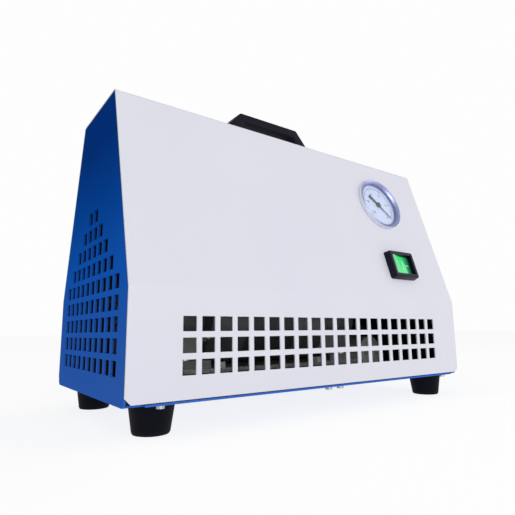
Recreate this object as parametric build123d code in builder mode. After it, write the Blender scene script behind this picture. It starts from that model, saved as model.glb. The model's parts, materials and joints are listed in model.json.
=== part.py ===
from build123d import *
import math
import os

os.makedirs("parts", exist_ok=True)

# A portable oil-free vacuum pump in a folded-sheet case. X runs along the front, Y to the back,
# Z up; the origin lies on the ground under the middle of the case. The front faces -Y.

# Case
CASE_L = 350.0
CASE_D = 172.0
CASE_H = 225.0
FOLD_H = 73.0
SETBACK = 45.0
FOOT_H = 20.0
COVER_T = 1.5
TRAY_T = 2.0
FOLD_R = 10.0
TOP_R = 3.5
SHEET_R = 0.8
SHEET_GAP = 0.2
COVER_LIP = 14.0
TRAY_LIP = 11.0
CORNER_CUT = 4.0
TRAY_CUT = 4.6

# Vents
VENT = 10.0
VENT_PITCH = 14.0
VENT_SILL = 17.0
VENT_MARGIN = 36.0
COVER_ROWS = 3
END_ROWS = (10, 10, 10, 10, 10, 8, 6, 4, 2)

# Feet and base fasteners
FOOT_TOP_R = 15.5
FOOT_LOW_R = 12.5
FOOT_INSET_X = 26.0
FOOT_INSET_Y = 22.0
FOOT_RECESS_R = 6.5
FOOT_RECESS = 10.0
M5_R = 2.5
M5_HEAD_R = 4.6
M5_HEAD_H = 3.2
M5_NUT_R = 4.5
M5_NUT_H = 4.0
M4_R = 2.0
M4_HEAD_R = 4.0
M4_HEAD_H = 2.6
HOLE_GAP = 0.25
COVER_SCREW_R = 1.5
COVER_SCREW_HEAD_R = 2.8
COVER_SCREW_HEAD_H = 2.0
COVER_SCREW_END = 24.0
COVER_SCREW_PAIR = 6.5
COVER_SCREW_EDGE = 3.5
COVER_SCREW_L = 6.0

# Handle
HANDLE_X = -7.0
HANDLE_TOP = 71.0
HANDLE_H = 32.0
HANDLE_RUN = 29.0
HANDLE_BAR = 9.0
HANDLE_W = 22.0
HANDLE_EDGE = 1.8
HANDLE_SCREW_L = 8.0

# Gauge
GAUGE_END = 73.0
GAUGE_UP = 107.0
BEZEL_R = 29.0
BEZEL_H = 4.0
BEZEL_SHOULDER = 2.4
BEZEL_ROUND = 1.2
BEZEL_EDGE = 0.7
BEZEL_MOUTH_R = 23.8
GAUGE_R = 25.5
GAUGE_DEPTH = 26.0
GAUGE_WALL = 1.0
GAUGE_RIM_R = 27.5
GAUGE_RIM_T = 1.2
LENS_T = 1.5
DIAL_R = 24.3
DIAL_T = 0.6
DIAL_DOWN = 1.0
POINTER_L = 20.0
POINTER_TAIL = 14.4
POINTER_T = 0.4
POINTER_HALF_W = 0.9
POINTER_TIP_HALF_W = 0.25
POINTER_TAIL_HALF_W = 1.8
POINTER_ANGLE = -42.0
POINTER_LIFT = 0.6
HUB_R = 2.6
SPINDLE_R = 0.8
SPINDLE_GAP = 0.08
SPINDLE_L = 5.0
MOVEMENT_R = 7.8
STEM_R = 5.5
STEM_L = 12.0
CLAMP_T = 2.0
CLAMP_W = 16.0
CLAMP_REACH = 30.0
CLAMP_STUD_X = 14.0
CLAMP_STUD_R = 1.5
CLAMP_NUT_R = 3.6
CLAMP_NUT_H = 3.0

# Switch
SWITCH_END = 72.0
SWITCH_UP = 35.5
SWITCH_W = 35.0
SWITCH_H = 26.0
SWITCH_PROUD = 6.5
SWITCH_CORNER = 2.0
SWITCH_TAPER = 3.0
SWITCH_BODY_W = 32.0
SWITCH_BODY_H = 23.0
SWITCH_BODY_D = 25.0
SWITCH_WELL_W = 29.8
SWITCH_WELL_H = 20.4
SWITCH_WELL_D = 9.0
SWITCH_PIVOT = 2.0
TERMINAL_X = 17.6
TERMINAL_Y = 11.0
ROCKER_TILT = 9.0
ROCKER_R = 14.6
ROCKER_W = 19.8
ROCKER_MID = 3.2
ROCKER_TIP = 5.2
ROCKER_KEEL = 6.5
TRUNNION_R = 1.4
TRUNNION_L = 1.0
TRUNNION_GAP = 0.05
BLADE_W = 6.3
BLADE_T = 0.8
BLADE_L = 8.0

# Appliance inlet on the back
INLET_END = 50.0
INLET_UP = 48.0
INLET_W = 50.0
INLET_H = 36.0
INLET_T = 3.0
INLET_CORNER = 3.0
INLET_BODY_W = 28.0
INLET_BODY_H = 33.0
INLET_BODY_D = 22.0
INLET_SCREW_X = 20.0
INLET_SCREW_L = 8.0
SOCKET_W = 24.6
SOCKET_H = 16.6
SOCKET_D = 15.0
SOCKET_DOWN = 6.0
SOCKET_CUT = 4.0
PIN_W = 2.0
PIN_H = 4.0
PIN_X = 7.0
PIN_STEP = 4.0
DRAWER_UP = 10.0
DRAWER_W = 22.0
DRAWER_H = 7.0
DRAWER_D = 16.0
DRAWER_FACE_W = 25.0
DRAWER_FACE_H = 9.4
DRAWER_FACE_T = 1.6
DRAWER_CORNER = 1.0
DRAWER_GAP = 0.3

# Vacuum manifold, nozzle and regulator on the back
MANIFOLD_X = -20.0
MANIFOLD_W = 50.0
MANIFOLD_T = 20.0
MANIFOLD_EDGE = 9.5
PORT_SPACING = 28.0
NECK_R = 8.5
NOZZLE_UP = 92.0
NOZZLE_R = 5.0
NOZZLE_BORE_R = 3.0
NOZZLE_L = 19.0
NOZZLE_EDGE = 0.8
NOZZLE_HEX_R = 9.0
NOZZLE_HEX_H = 5.5
NOZZLE_THREAD_L = 10.0
PASSAGE_R = 2.5
REGULATOR_BUSH_R = 6.0
REGULATOR_BUSH_H = 4.0
REGULATOR_STEM_R = 3.5
REGULATOR_STEM_D = 14.0
KNOB_R = 9.5
KNOB_H = 13.0
KNOB_GAP = 0.4
KNOB_STEM_L = 9.0
KNOB_FLUTES = 12
KNOB_FLUTE_R = 1.4
KNOB_FLUTE_OUT = 0.6
RUN_GAP = 0.05

# Pump: all along the shaft is counted outward from the middle of the motor, which stands at a
# share of the case's length
PUMP_SHARE = 0.42
MOUNT_R = 9.0
MOUNT_WAIST_R = 7.7
MOUNT_H = 12.0
MOUNT_STUD_L = 8.0
MOUNT_X = 52.0
MOUNT_Y = 36.0
PLATE_T = 3.0
PLATE_L = 212.0
PLATE_W = 96.0
PLATE_CORNER = 6.0
AXIS_ABOVE_PLATE = 42.0
STATOR_R = 41.0
STATOR_BORE_R = 22.3
STATOR_HALF = 27.5
AIR_GAP = 0.4
WINDING_R = 33.5
WINDING_INNER_R = 24.5
WINDING_OUT = 17.0
WINDING_ROUND = 3.0
ROTOR_RING = 6.0
ROTOR_RING_STEP = 2.0
SHAFT_R = 7.0
JOURNAL_R = 6.0
SHAFT_END_R = 5.0
SHAFT_STICKS_OUT = 1.0
BELL_BORE_R = 34.5
BELL_END = 50.0
BEARING_R = 16.0
BEARING_W = 10.0
BEARING_LIP = 1.5
LIP_R = 13.0
SEAT = 0.02
HEAD_U = 80.0
CHAMBER_R = 25.0
CHAMBER_WALL = 5.0
NECK_BORE_R = 25.5
NECK_OUTER_R = 31.0
NECK_FLOOR = 20.0
FLANGE_T = 8.0
DECK_H = 58.0
HEAD_W = 68.0
HEAD_CORNER = 16.0
HEAD_SCREW = 25.0
BOLT_CIRCLE_R = 37.6
BOLT_R = 2.0
BOLT_HEAD_R = 3.4
BOLT_HEAD_H = 3.0
BOLT_ANGLE = 30.0
CASTING_FOOT_W = 84.0
CASTING_FOOT_T = 6.0
CASTING_FOOT_L = 40.0
CASTING_FOOT_U = 84.0
PEDESTAL_W = 48.0
FOOT_BOLT_Y = 35.0
FOOT_BOLT_R = 3.0
FOOT_BOLT_HEAD_R = 5.0
FOOT_BOLT_HEAD_H = 4.0

# Crank and diaphragm
THROW = 3.0
CRANK_R = 10.0
CRANK_W = 12.0
BALANCE_R = 22.0
BALANCE_T = 7.0
ROD_BEARING_R = 15.0
ROD_BEARING_W = 9.0
ROD_RING_R = 18.5
ROD_W = 10.0
ROD_SHANK_W = 8.0
ROD_SHANK_D = 11.0
DISC_R = 18.0
DISC_T = 3.0
CLAMP_STUD_L = 9.0
DIAPHRAGM_R = 29.0
DIAPHRAGM_T = 2.5
DIAPHRAGM_HOLD_R = 25.5

# Heads
VALVE_PLATE_T = 14.5
DISH_GAP = 0.6
DISH_TOP_R = 22.5
VALVE_X = 9.0
VALVE_R = 2.2
REED_T = 0.4
REED_L = 16.0
REED_W = 6.5
REED_POCKET = 1.0
REED_ROOM = 0.5
HEAD_T = 12.0
HEAD_POCKET_D = 8.0
HEAD_POCKET_W = 20.0
HEAD_POCKET_L = 40.0
PORT_X = 13.0
HEAD_PORT_UP = 6.0
HEAD_PORT_R = 3.5
FIN_H = 7.0
FIN_T = 2.4
FIN_PITCH = 7.0
FIN_COUNT = 9
FIN_L = 60.0
SCREW_ROOM = 1.0
HEAD_SCREW_HEAD_H = 3.0

# Fan, fittings and hoses
FAN_GAP = 4.0
FAN_W = 12.0
FAN_R = 34.0
FAN_HUB_R = 9.0
FAN_BLADES = 7
FAN_BLADE_T = 1.6
FAN_BLADE_ROOT = 2.0
FAN_PITCH = 35.0
FITTING_R = 6.5
FITTING_L = 14.0
STUB_L = 9.0
ELBOW_OUT = 8.0
HOSE_R = 4.0
GAUGE_HOSE_R = 3.0
GAUGE_HOSE_LEAD = 34.0
GAUGE_HOSE_OVER = 14.0
GAUGE_HOSE_RUN = 44.0
GAUGE_HOSE_RISE = 7.0
GAUGE_HOSE_SIDE = 4.0
SILENCER_R = 8.0
SILENCER_L = 30.0
SILENCER_RINGS = 5
SILENCER_STEM_L = 6.0
SILENCER_STEM_R = 4.8
SILENCER_GROOVE = 1.0
SILENCER_GROOVE_W = 1.5

# Run capacitor
CAPACITOR_END = 35.0
CAPACITOR_Y = 28.0
CAPACITOR_R = 17.5
CAPACITOR_L = 58.0
CLIP_T = 1.0
CLIP_W = 14.0

# Places worked out from the sizes above
slope = math.atan2(SETBACK, CASE_H - FOLD_H)
slope_cos = math.cos(slope)
slope_sin = math.sin(slope)
floor_z = FOOT_H + TRAY_T
fold_z = FOOT_H + FOLD_H
top_z = FOOT_H + CASE_H
top_half = CASE_D / 2 - SETBACK
cover_columns = 1 + int((CASE_L - 2 * VENT_MARGIN - VENT) / VENT_PITCH)
gauge_x = CASE_L / 2 - GAUGE_END
switch_x = CASE_L / 2 - SWITCH_END
inlet_x = CASE_L / 2 - INLET_END
pump_x = (PUMP_SHARE - 0.5) * CASE_L
capacitor_x = CASE_L / 2 - CAPACITOR_END
cover_screw_x = CASE_L / 2 - COVER_SCREW_END
cover_screw_y = CASE_D / 2 - COVER_SCREW_EDGE
plate_z = floor_z + MOUNT_H
axis_z = plate_z + PLATE_T + AXIS_ABOVE_PLATE
chamber_start = BELL_END + BEARING_W + BEARING_LIP
chamber_end = HEAD_U + NECK_OUTER_R
plate_top = DECK_H + VALVE_PLATE_T
head_top = plate_top + HEAD_T
port_z = axis_z + plate_top + HEAD_PORT_UP
port_y = HEAD_W / 2 + ELBOW_OUT
foot_spots = [(x, y) for x in (FOOT_INSET_X - CASE_L / 2, CASE_L / 2 - FOOT_INSET_X)
              for y in (FOOT_INSET_Y - CASE_D / 2, CASE_D / 2 - FOOT_INSET_Y)]
mount_spots = [(pump_x + x, y) for x in (-MOUNT_X, MOUNT_X) for y in (-MOUNT_Y, MOUNT_Y)]
cover_screw_spots = [(x, y) for x in (-cover_screw_x, -COVER_SCREW_PAIR, COVER_SCREW_PAIR, cover_screw_x)
                     for y in (-cover_screw_y, cover_screw_y)]
handle_half = HANDLE_TOP / 2 + HANDLE_RUN
handle_screw_x = handle_half - HANDLE_BAR
BASE_ALIGN = (Align.CENTER, Align.CENTER, Align.MIN)
TOP_ALIGN = (Align.CENTER, Align.CENTER, Align.MAX)


def front(x, up, out=0.0):
    """Plane on the front slope, its Z outward and its Y up the slope."""
    y = -CASE_D / 2 + up * slope_sin - out * slope_cos
    z = fold_z + up * slope_cos + out * slope_sin
    return Plane(origin=(x, y, z), x_dir=(1, 0, 0), z_dir=(0, -slope_cos, slope_sin))


def back(x, up, out=0.0):
    """Plane on the back slope, its Z outward and its Y up the slope."""
    y = CASE_D / 2 - up * slope_sin + out * slope_cos
    z = fold_z + up * slope_cos + out * slope_sin
    return Plane(origin=(x, y, z), x_dir=(-1, 0, 0), z_dir=(0, slope_cos, slope_sin))


def along(place, x=0.0, y=0.0, out=0.0):
    """The same plane, moved within itself and outward."""
    return Plane(origin=place.from_local_coords((x, y, out)), x_dir=place.x_dir, z_dir=place.z_dir)


def turned(place, angle):
    """The same plane, turned within itself."""
    return place.moved(Location((0, 0, 0), (0, 0, angle)))


def side_view(place):
    """Plane through a place's own axis: its X is kept and its Y is the place's Z."""
    return Plane(origin=place.origin, x_dir=place.x_dir, z_dir=-place.y_dir)


def level(x, y, z):
    """Level plane through a point, looking up."""
    return Plane(origin=(x, y, z))


def facing_x(x, y, z, way):
    """Plane that looks along X, one way or the other, with Z up."""
    return Plane(origin=(x, y, z), x_dir=(0, way, 0), z_dir=(way, 0, 0))


def shaft_plane(out, side):
    """Plane across the motor shaft, that far out from its middle towards one end."""
    return facing_x(pump_x + side * out, 0, axis_z, side)


def head_plane(side, up=0.0):
    """Level plane on the centre line of one pump head, measured up from the shaft axis."""
    return level(pump_x + side * HEAD_U, 0, axis_z + up)


def inward(place):
    """The same plane turned over, to look the other way along its axis."""
    return Plane(origin=place.origin, x_dir=place.x_dir, z_dir=-place.z_dir)


def turn(place, *points, mode=Mode.ADD):
    """Revolve an outline of (radius, height) points about the place's Z axis."""
    with BuildSketch(side_view(place)) as outline:
        with BuildLine():
            Polyline(*points, close=True)
        make_face()
    revolve(outline.sketch, axis=Axis(place.origin, place.z_dir), mode=mode)


def rod(place, radius, length, mode=Mode.ADD):
    """Round bar that starts on the place and runs outward."""
    with Locations(place):
        Cylinder(radius, length, align=BASE_ALIGN, mode=mode)


def tube(place, radius, bore, length):
    """Round bar with a bore right through."""
    rod(place, radius, length)
    rod(place, bore, length, Mode.SUBTRACT)


def block(place, width, height, length, mode=Mode.ADD):
    """Rectangular bar that starts on the place and runs outward."""
    with Locations(place):
        Box(width, height, length, align=BASE_ALIGN, mode=mode)


def screw(place, head_r, head_h, shank_r, length):
    """Screw whose head stands out from the place and whose shank runs inward."""
    with Locations(place):
        Cylinder(head_r, head_h, align=BASE_ALIGN)
        Cylinder(shank_r, length, align=TOP_ALIGN)


def hexagon(place, corner_r, height, bore=0.0):
    """Hexagonal bar or nut that starts on the place."""
    with BuildSketch(place) as outline:
        RegularPolygon(corner_r, 6)
        if bore:
            Circle(bore, mode=Mode.SUBTRACT)
    extrude(outline.sketch, amount=height)


def hose(radius, points, radii):
    """Straight runs joined by tangent arcs, swept as one solid bar."""
    with BuildLine() as route:
        FilletPolyline(*points, radius=radii)
    with BuildSketch(Plane(origin=points[0], z_dir=route.line % 0)) as outline:
        Circle(radius)
    sweep(outline.sketch, path=route.line)


def bend_radii(points):
    """Each arc's radius: 0.45 of its shorter run over the tangent of half its turn."""
    corners = [Vector(*point) for point in points]
    radii = []
    for before, here, after in zip(corners, corners[1:], corners[2:]):
        come, go = here - before, after - here
        radii.append(0.45 * min(come.length, go.length) / math.tan(math.radians(come.get_angle(go)) / 2))
    return radii


def save(name, piece):
    """Label a finished piece and write it as its own file."""
    piece.part.label = name
    export_step(piece.part, f"parts/{name}.step")


def case_section(inset, floor, x=0.0):
    """The case's cross-section, drawn in by the inset and standing on the floor height."""
    half = CASE_D / 2 - inset
    fold = fold_z - inset * math.tan(slope / 2)
    top = top_half - inset * math.tan((math.pi / 2 - slope) / 2)
    with BuildSketch(Plane.YZ.offset(x)) as section:
        with BuildLine():
            Polyline((-half, floor), (-half, fold), (-top, top_z - inset),
                     (top, top_z - inset), (half, fold), (half, floor), close=True)
        make_face()
        fillet(section.vertices().group_by(Axis.Y)[1], max(FOLD_R - inset, SHEET_R))
        fillet(section.vertices().group_by(Axis.Y)[-1], max(TOP_R - inset, SHEET_R))
    return section.sketch


# Base tray: base and both ends folded from one sheet, with lips that the cover lies on
panel_inset = COVER_T + SHEET_GAP
with BuildPart() as base_tray:
    with BuildSketch(Plane.XY.offset(FOOT_H)):
        Rectangle(CASE_L, CASE_D)
    extrude(amount=TRAY_T)
    for side in (-1, 1):
        end = side * CASE_L / 2
        inner = end - side * TRAY_T
        extrude(case_section(panel_inset, floor_z, end), amount=-side * (TRAY_T + TRAY_LIP))
        hollow = case_section(panel_inset + TRAY_T, floor_z, inner)
        extrude(hollow, amount=-side * TRAY_LIP, mode=Mode.SUBTRACT)
        with BuildSketch(Plane.YZ.offset(end)):
            for way in (-1, 1):
                with BuildLine():
                    Polyline((way * CASE_D / 2, FOOT_H), (way * (CASE_D / 2 - TRAY_CUT), FOOT_H),
                             (way * CASE_D / 2, FOOT_H + TRAY_CUT), close=True)
                make_face()
        extrude(amount=-side * (TRAY_T + TRAY_LIP), mode=Mode.SUBTRACT)
    for row, count in enumerate(END_ROWS):
        with BuildSketch(Plane.YZ):
            with Locations((0, FOOT_H + VENT_SILL + VENT / 2 + row * VENT_PITCH)):
                with GridLocations(VENT_PITCH, VENT_PITCH, count, 1):
                    Rectangle(VENT, VENT)
        extrude(amount=-CASE_L / 2, mode=Mode.SUBTRACT)
    with BuildSketch(Plane.XY.offset(FOOT_H)):
        with Locations(*foot_spots, *mount_spots):
            Circle(M5_R + HOLE_GAP)
        with Locations(*cover_screw_spots):
            Circle(COVER_SCREW_R + HOLE_GAP)
    extrude(amount=TRAY_T, mode=Mode.SUBTRACT)
save("base_tray", base_tray)

# Cover: one sheet folded over the front, both slopes, the top and the back
with BuildPart() as cover_shell:
    extrude(case_section(0, floor_z), amount=CASE_L / 2, both=True)
    extrude(case_section(COVER_T, floor_z + COVER_T), amount=CASE_L / 2, both=True, mode=Mode.SUBTRACT)
    with BuildSketch(Plane.XY.offset(floor_z)):
        Rectangle(CASE_L, CASE_D - 2 * COVER_LIP)
        with Locations((-CASE_L / 2, 0), (CASE_L / 2, 0)):
            Rectangle(2 * (TRAY_T + TRAY_LIP + SHEET_GAP), CASE_D - 2 * COVER_T)
    extrude(amount=COVER_T, mode=Mode.SUBTRACT)
    with BuildSketch(Plane.XZ):
        for side in (-1, 1):
            with BuildLine():
                Polyline((side * CASE_L / 2, floor_z), (side * (CASE_L / 2 - CORNER_CUT), floor_z),
                         (side * CASE_L / 2, floor_z + CORNER_CUT), close=True)
            make_face()
    extrude(amount=CASE_D / 2, both=True, mode=Mode.SUBTRACT)
    with BuildSketch(Plane.XZ):
        with Locations((0, FOOT_H + VENT_SILL + VENT / 2 + (COVER_ROWS - 1) * VENT_PITCH / 2)):
            with GridLocations(VENT_PITCH, VENT_PITCH, cover_columns, COVER_ROWS):
                Rectangle(VENT, VENT)
    extrude(amount=CASE_D / 2, mode=Mode.SUBTRACT)
    with BuildSketch(front(gauge_x, GAUGE_UP)):
        Circle(GAUGE_R + HOLE_GAP)
    with BuildSketch(front(switch_x, SWITCH_UP)):
        Rectangle(SWITCH_BODY_W + 2 * HOLE_GAP, SWITCH_BODY_H + 2 * HOLE_GAP)
    with BuildSketch(back(inlet_x, INLET_UP)):
        Rectangle(INLET_BODY_W + 2 * HOLE_GAP, INLET_BODY_H + 2 * HOLE_GAP)
        with Locations((-INLET_SCREW_X, 0), (INLET_SCREW_X, 0)):
            Circle(M4_R + HOLE_GAP)
    with BuildSketch(back(MANIFOLD_X, NOZZLE_UP)):
        with Locations((-PORT_SPACING / 2, 0), (PORT_SPACING / 2, 0)):
            Circle(REGULATOR_BUSH_R + HOLE_GAP)
    extrude(amount=-2 * COVER_T, mode=Mode.SUBTRACT)
    with BuildSketch(Plane.XY.offset(top_z)):
        with Locations((HANDLE_X - handle_screw_x, 0), (HANDLE_X + handle_screw_x, 0)):
            Circle(M5_R + HOLE_GAP)
    extrude(amount=-COVER_T, mode=Mode.SUBTRACT)
    with BuildSketch(Plane.XY.offset(floor_z)):
        with Locations(*cover_screw_spots):
            Circle(COVER_SCREW_R)
    extrude(amount=COVER_T, mode=Mode.SUBTRACT)
save("cover_shell", cover_shell)

with BuildPart() as cover_screws:
    for x, y in cover_screw_spots:
        screw(inward(level(x, y, FOOT_H)), COVER_SCREW_HEAD_R, COVER_SCREW_HEAD_H, COVER_SCREW_R,
              COVER_SCREW_L)
save("cover_screws", cover_screws)

# Feet: tapered rubber buttons, each held by a screw sunk in from below
with BuildPart() as rubber_feet:
    for x, y in foot_spots:
        turn(level(x, y, 0),
             (FOOT_RECESS_R, 0), (FOOT_LOW_R, 0), (FOOT_TOP_R, FOOT_H), (M5_R, FOOT_H),
             (M5_R, FOOT_RECESS), (FOOT_RECESS_R, FOOT_RECESS))
save("rubber_feet", rubber_feet)

foot_screw_l = FOOT_H - FOOT_RECESS + TRAY_T + M5_NUT_H
with BuildPart() as foot_screws:
    for x, y in foot_spots:
        screw(inward(level(x, y, FOOT_RECESS)), M5_HEAD_R, M5_HEAD_H, M5_R, foot_screw_l)
save("foot_screws", foot_screws)

with BuildPart() as hex_nuts:
    for x, y in foot_spots:
        hexagon(level(x, y, floor_z), M5_NUT_R, M5_NUT_H, M5_R)
    for x, y in mount_spots:
        hexagon(level(x, y, FOOT_H - M5_NUT_H), M5_NUT_R, M5_NUT_H, M5_R)
        hexagon(level(x, y, plate_z + PLATE_T), M5_NUT_R, M5_NUT_H, M5_R)
save("hex_nuts", hex_nuts)

# Handle: bridge with sloped legs, screwed on from inside the case
leg_turn = math.atan2(HANDLE_H, HANDLE_RUN)
inner_top = HANDLE_TOP / 2 - HANDLE_BAR * math.tan(leg_turn / 2)
inner_foot = handle_half - 2 * HANDLE_BAR
with BuildPart() as carry_handle:
    with BuildSketch(side_view(level(HANDLE_X, 0, top_z))):
        with BuildLine():
            Polyline((-handle_half, 0), (-HANDLE_TOP / 2, HANDLE_H), (HANDLE_TOP / 2, HANDLE_H),
                     (handle_half, 0), (inner_foot, 0), (inner_top, HANDLE_H - HANDLE_BAR),
                     (-inner_top, HANDLE_H - HANDLE_BAR), (-inner_foot, 0), close=True)
        make_face()
    extrude(amount=HANDLE_W / 2, both=True)
    outer_faces = carry_handle.faces().filter_by(lambda face: face.normal_at().Z > SHEET_GAP)
    chamfer(outer_faces.edges().filter_by(Axis.Y, reverse=True), HANDLE_EDGE)
    for side in (-1, 1):
        rod(level(HANDLE_X + side * handle_screw_x, 0, top_z), M5_R, HANDLE_SCREW_L - COVER_T, Mode.SUBTRACT)
save("carry_handle", carry_handle)

with BuildPart() as handle_screws:
    for side in (-1, 1):
        under = inward(level(HANDLE_X + side * handle_screw_x, 0, top_z - COVER_T))
        screw(under, M5_HEAD_R, M5_HEAD_H, M5_R, HANDLE_SCREW_L)
save("handle_screws", handle_screws)

# Gauge: cup case through the panel, held from behind by a U clamp
gauge = front(gauge_x, GAUGE_UP)
gauge_back = inward(along(gauge, out=-GAUGE_DEPTH))
lens_low = GAUGE_RIM_T + SHEET_GAP
lip_low = lens_low + LENS_T + SHEET_GAP
case_bore_r = GAUGE_R - GAUGE_WALL
with BuildPart() as gauge_case:
    turn(gauge, (STEM_R, -GAUGE_DEPTH), (GAUGE_R, -GAUGE_DEPTH), (GAUGE_R, 0), (GAUGE_RIM_R, 0),
         (GAUGE_RIM_R, GAUGE_RIM_T), (case_bore_r, GAUGE_RIM_T), (case_bore_r, GAUGE_WALL - GAUGE_DEPTH),
         (STEM_R, GAUGE_WALL - GAUGE_DEPTH))
    for side in (-1, 1):
        rod(along(gauge_back, side * CLAMP_STUD_X), CLAMP_STUD_R, CLAMP_T + 2 * CLAMP_NUT_H)
save("gauge_case", gauge_case)

with BuildPart() as gauge_bezel:
    turn(gauge, (GAUGE_RIM_R, 0), (BEZEL_R, 0), (BEZEL_R, BEZEL_SHOULDER), (BEZEL_R - BEZEL_ROUND, BEZEL_H),
         (BEZEL_MOUTH_R + BEZEL_EDGE, BEZEL_H), (BEZEL_MOUTH_R, BEZEL_H - BEZEL_EDGE),
         (BEZEL_MOUTH_R, lip_low), (GAUGE_RIM_R, lip_low))
save("gauge_bezel", gauge_bezel)

with BuildPart() as gauge_lens:
    rod(along(gauge, out=lens_low), GAUGE_RIM_R - SHEET_GAP, LENS_T)
save("gauge_lens", gauge_lens)

with BuildPart() as gauge_dial:
    tube(along(gauge, out=-DIAL_DOWN - DIAL_T), DIAL_R, SPINDLE_R + 2 * SPINDLE_GAP, DIAL_T)
save("gauge_dial", gauge_dial)

pointer_low = POINTER_LIFT - DIAL_DOWN
spindle_low = -DIAL_DOWN - DIAL_T - SPINDLE_L
with BuildPart() as gauge_pointer:
    with BuildSketch(turned(along(gauge, out=pointer_low), POINTER_ANGLE)):
        Circle(HUB_R)
        with BuildLine():
            Polyline((0, -POINTER_HALF_W), (POINTER_L, -POINTER_TIP_HALF_W), (POINTER_L, POINTER_TIP_HALF_W),
                     (0, POINTER_HALF_W), close=True)
        make_face()
        with BuildLine():
            Polyline((0, -POINTER_HALF_W), (-POINTER_TAIL, -POINTER_TAIL_HALF_W),
                     (-POINTER_TAIL, POINTER_TAIL_HALF_W), (0, POINTER_HALF_W), close=True)
        make_face()
    extrude(amount=POINTER_T)
    rod(along(gauge, out=pointer_low), HUB_R / 2, 2 * POINTER_T)
    rod(along(gauge, out=spindle_low), SPINDLE_R, pointer_low - spindle_low)
save("gauge_pointer", gauge_pointer)

with BuildPart() as gauge_socket:
    rod(along(gauge, out=GAUGE_WALL - GAUGE_DEPTH), MOVEMENT_R, GAUGE_DEPTH - GAUGE_WALL - DIAL_DOWN - DIAL_T)
    rod(inward(along(gauge, out=-DIAL_DOWN - DIAL_T)), SPINDLE_R + SPINDLE_GAP,
        SPINDLE_L + SHEET_GAP, Mode.SUBTRACT)
    rod(gauge_back, STEM_R, STEM_L)
    rod(along(gauge, out=-GAUGE_DEPTH), STEM_R, GAUGE_WALL)
save("gauge_socket", gauge_socket)

with BuildPart() as gauge_clamp:
    block(gauge_back, 2 * CLAMP_REACH, CLAMP_W, CLAMP_T)
    for side in (-1, 1):
        leg = inward(along(gauge, side * (CLAMP_REACH - CLAMP_T / 2), 0, -COVER_T))
        block(leg, CLAMP_T, CLAMP_W, GAUGE_DEPTH - COVER_T + CLAMP_T)
        rod(along(gauge_back, side * CLAMP_STUD_X), CLAMP_STUD_R + HOLE_GAP, CLAMP_T, Mode.SUBTRACT)
    rod(gauge_back, STEM_R + HOLE_GAP, CLAMP_T, Mode.SUBTRACT)
save("gauge_clamp", gauge_clamp)

with BuildPart() as gauge_clamp_nuts:
    for side in (-1, 1):
        hexagon(along(gauge_back, side * CLAMP_STUD_X, 0, CLAMP_T), CLAMP_NUT_R, CLAMP_NUT_H, CLAMP_STUD_R)
save("gauge_clamp_nuts", gauge_clamp_nuts)

# Switch: frame with a well, rocker on two trunnions, blades at the back
switch = front(switch_x, SWITCH_UP)
pivot = along(switch, out=SWITCH_PIVOT)
pivot_line = Plane(origin=pivot.origin, x_dir=switch.x_dir, z_dir=switch.y_dir)
with BuildPart() as switch_frame:
    with BuildSketch(switch):
        RectangleRounded(SWITCH_W, SWITCH_H, SWITCH_CORNER)
    extrude(amount=SWITCH_PROUD, taper=SWITCH_TAPER)
    with BuildSketch(switch):
        Rectangle(SWITCH_BODY_W, SWITCH_BODY_H)
    extrude(amount=-SWITCH_BODY_D)
    with BuildSketch(along(switch, out=SWITCH_PROUD)):
        Rectangle(SWITCH_WELL_W, SWITCH_WELL_H)
    extrude(amount=-SWITCH_PROUD - SWITCH_WELL_D, mode=Mode.SUBTRACT)
    with Locations(pivot_line):
        Cylinder(TRUNNION_R + TRUNNION_GAP, ROCKER_W + 2 * (TRUNNION_L + HOLE_GAP), mode=Mode.SUBTRACT)
save("switch_frame", switch_frame)

with BuildPart() as switch_rocker:
    with BuildSketch(turned(side_view(pivot), -ROCKER_TILT)):
        with BuildLine():
            Polyline((-ROCKER_R, ROCKER_TIP - SWITCH_PIVOT), (0, ROCKER_MID - SWITCH_PIVOT),
                     (ROCKER_R, ROCKER_TIP - SWITCH_PIVOT), (ROCKER_R, -ROCKER_KEEL),
                     (-ROCKER_R, -ROCKER_KEEL), close=True)
        make_face()
        Circle(ROCKER_R, mode=Mode.INTERSECT)
    extrude(amount=ROCKER_W / 2, both=True)
    with Locations(pivot_line):
        Cylinder(TRUNNION_R, ROCKER_W + 2 * TRUNNION_L)
save("switch_rocker", switch_rocker)

switch_back = inward(along(switch, out=-SWITCH_BODY_D))
with BuildPart() as switch_terminals:
    with Locations(switch_back):
        with GridLocations(TERMINAL_X, TERMINAL_Y, 2, 2):
            Box(BLADE_T, BLADE_W, BLADE_L, align=BASE_ALIGN)
save("switch_terminals", switch_terminals)

# Appliance inlet: flange, plug socket with three pins, and a fuse drawer above it
inlet = back(inlet_x, INLET_UP)
inlet_face = along(inlet, out=INLET_T)
socket = along(inlet_face, y=-SOCKET_DOWN)
drawer = along(inlet_face, y=DRAWER_UP)
pin_spots = [(0, PIN_STEP / 2), (-PIN_X, -PIN_STEP / 2), (PIN_X, -PIN_STEP / 2)]
with BuildPart() as power_inlet:
    with BuildSketch(inlet):
        RectangleRounded(INLET_W, INLET_H, INLET_CORNER)
        with Locations((-INLET_SCREW_X, 0), (INLET_SCREW_X, 0)):
            Circle(M4_R + HOLE_GAP, mode=Mode.SUBTRACT)
    extrude(amount=INLET_T)
    with BuildSketch(inlet):
        Rectangle(INLET_BODY_W, INLET_BODY_H)
    extrude(amount=-INLET_BODY_D)
    with BuildSketch(socket) as mouth:
        Rectangle(SOCKET_W, SOCKET_H)
        chamfer(mouth.vertices().group_by(Axis.Y)[-1], SOCKET_CUT)
    extrude(amount=-SOCKET_D, mode=Mode.SUBTRACT)
    with BuildSketch(drawer):
        Rectangle(DRAWER_W, DRAWER_H)
    extrude(amount=-DRAWER_D, mode=Mode.SUBTRACT)
save("power_inlet", power_inlet)

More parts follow.
